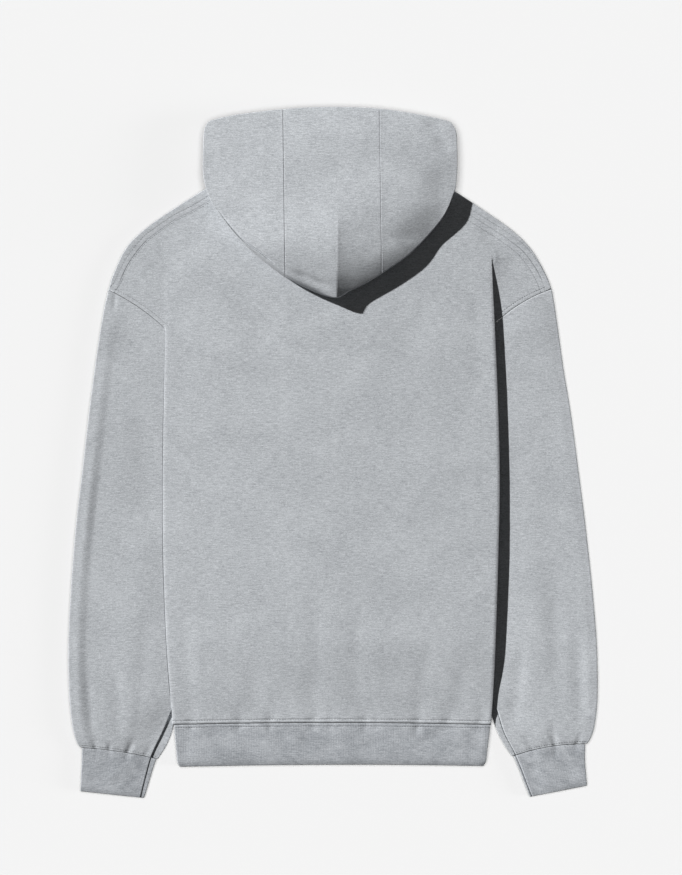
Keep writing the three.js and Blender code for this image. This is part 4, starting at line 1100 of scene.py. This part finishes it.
def sewn(name, piece, lines):
    surface = BVHTree.FromObject(piece, bpy.context.evaluated_depsgraph_get())
    points, edges = [], []
    for line in lines:
        hits = [surface.ray_cast((x, y, 1), (0, 0, -1))[0] for x, y in line * 0.001]
        hits = [hit for hit in hits if hit is not None]
        edges += [(len(points) + i, len(points) + i + 1) for i in range(len(hits) - 1)]
        points += hits
    mesh = bpy.data.meshes.new(name)
    mesh.from_pydata(points, edges, [])
    rows = newObject(name, mesh)
    maker = rows.modifiers.new("stitches", "NODES")
    maker.node_group = rowOfStitches
    for item in rowOfStitches.interface.items_tree:
        if item.name in stitch:
            maker[item.identifier] = stitch[item.name] * 0.001
        elif item.name == "Thread":
            maker[item.identifier] = thread
    made = bpy.data.meshes.new_from_object(rows.evaluated_get(bpy.context.evaluated_depsgraph_get()))
    rows.modifiers.clear()
    rows.data = made
    made.polygons.foreach_set("use_smooth", [True] * len(made.polygons))
    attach(rows, "root")
    return rows


def waistRow(away):
    x = np.linspace(-188, 186, 90)
    return np.stack([x, waistSeam(x) + away], axis=1)


def cuffRow(side):
    end = np.array(sleeveSections[side][-1], float)
    t = np.linspace(0.03, 0.97, 60)[:, None]
    line = mix(end[0:2], end[2:4], t) + np.array([0, end[4]]) * 4 * t * (1 - t)
    return line + np.array([0, seam["rows"]["cuff"]])


neckward = {"left": -1, "right": 1}  # the side of a line from the armpit up on which the back lies
rows = seam["rows"]
backLines, frontLines = [waistRow(rows["waist"])], []
for side in sides:
    backLines.append(besideLine(shoulderSeams[side][6:], neckward[side] * rows["inner"][side]))
    backLines.append(besideLine(armholeLines[side][::-1][:36], neckward[side] * rows["armhole"]))
    frontLines.append(besideLine(shoulderSeams[side][6:], -neckward[side] * rows["outer"][side]))
stitches = {
    "back": sewn("stitchesBack", backPanel, backLines),
    "front": sewn("stitchesFront", frontPanel, frontLines),
    "band": sewn("stitchesBand", band, [waistRow(0.6 - seam["rows"]["waist"])]),
    **{side: sewn(f"stitchesSleeve{side.capitalize()}", sleeves[side], [cuffRow(side)]) for side in sides},
}
print("sewing ready")

# The floor, the light and the camera

studio = {
    "cameraHeight": 4.2,
    "lookAt": (0.0096, 0.0186),
    "frameHeight": 1.05,
    "skyStrength": 0.07,
    "suns": {  # direction, strength and angle: the key is for the cloth, the others for the floor
        "key": ((0.754, -0.475, -0.454), 6.6, 1.6),
        "floor fill": ((0.05, -0.03, -1), 27.2, 50),
        "floor halo": ((-1, 0.1, -0.2), 6, 18),  # from the right: the floor is a little darker on the left
    },
    # a dark floor under a strong light of its own, so that the cloth throws none back onto it
    "floorTone": 0.1,
    "floorReach": 12,
}


def makeFloor():
    shader = Shader("pale floor")
    place = shader.add("ShaderNodeTexCoord", output=3)
    grain = shader.add("ShaderNodeTexNoise", {}, {"Vector": place, "Scale": 900, "Detail": 2})
    tone = studio["floorTone"]
    stops = [(0.3, (tone * 0.998,) * 3), (0.7, (tone,) * 3)]
    colour = shader.add("ShaderNodeValToRGB", {"stops": stops}, [grain])
    shader.feed(shader.surface.inputs["Base Color"], colour)
    shader.surface.inputs["Roughness"].default_value = 1
    shader.surface.inputs["Specular IOR Level"].default_value = 0
    mesh = bpy.data.meshes.new("floor")
    reach = studio["floorReach"]
    corners = [(-reach, -reach, 0), (reach, -reach, 0), (reach, reach, 0), (-reach, reach, 0)]
    mesh.from_pydata(corners, [], [(0, 1, 2, 3)])
    mesh.materials.append(shader.material)
    floor = newObject("floor", mesh)
    return floor


def makeSun(name, direction, strength, angle, receivers):
    data = bpy.data.lights.new(name, "SUN")
    data.energy, data.angle = strength, math.radians(angle)
    light = newObject(name, data)
    light.rotation_euler = Vector(direction).to_track_quat("-Z", "Y").to_euler()
    group = bpy.data.collections.new(f"{name} receivers")
    for piece in receivers:
        group.objects.link(piece)
    light.light_linking.receiver_collection = group
    return light


floor = makeFloor()
cloth = [backPanel, frontPanel, *sleeves.values(), *cuffs.values(), band, hoodCentre, hoodLeft, hoodRight]
for name, (direction, strength, angle) in studio["suns"].items():
    makeSun(name, direction, strength, angle, cloth if name == "key" else [floor])

world = bpy.data.worlds.new("studio")
world.use_nodes = True
world.node_tree.nodes["Background"].inputs["Color"].default_value = (1, 1, 1, 1)
world.node_tree.nodes["Background"].inputs["Strength"].default_value = studio["skyStrength"]
bpy.context.scene.world = world
bpy.context.scene.view_settings.view_transform = "Standard"

lens = bpy.data.cameras.new("camera")
lens.sensor_width = 36
lens.lens = 36 * studio["cameraHeight"] / studio["frameHeight"]
lens.clip_end = 50
camera = newObject("camera", lens)
camera.location = (*studio["lookAt"], studio["cameraHeight"])
bpy.context.scene.camera = camera
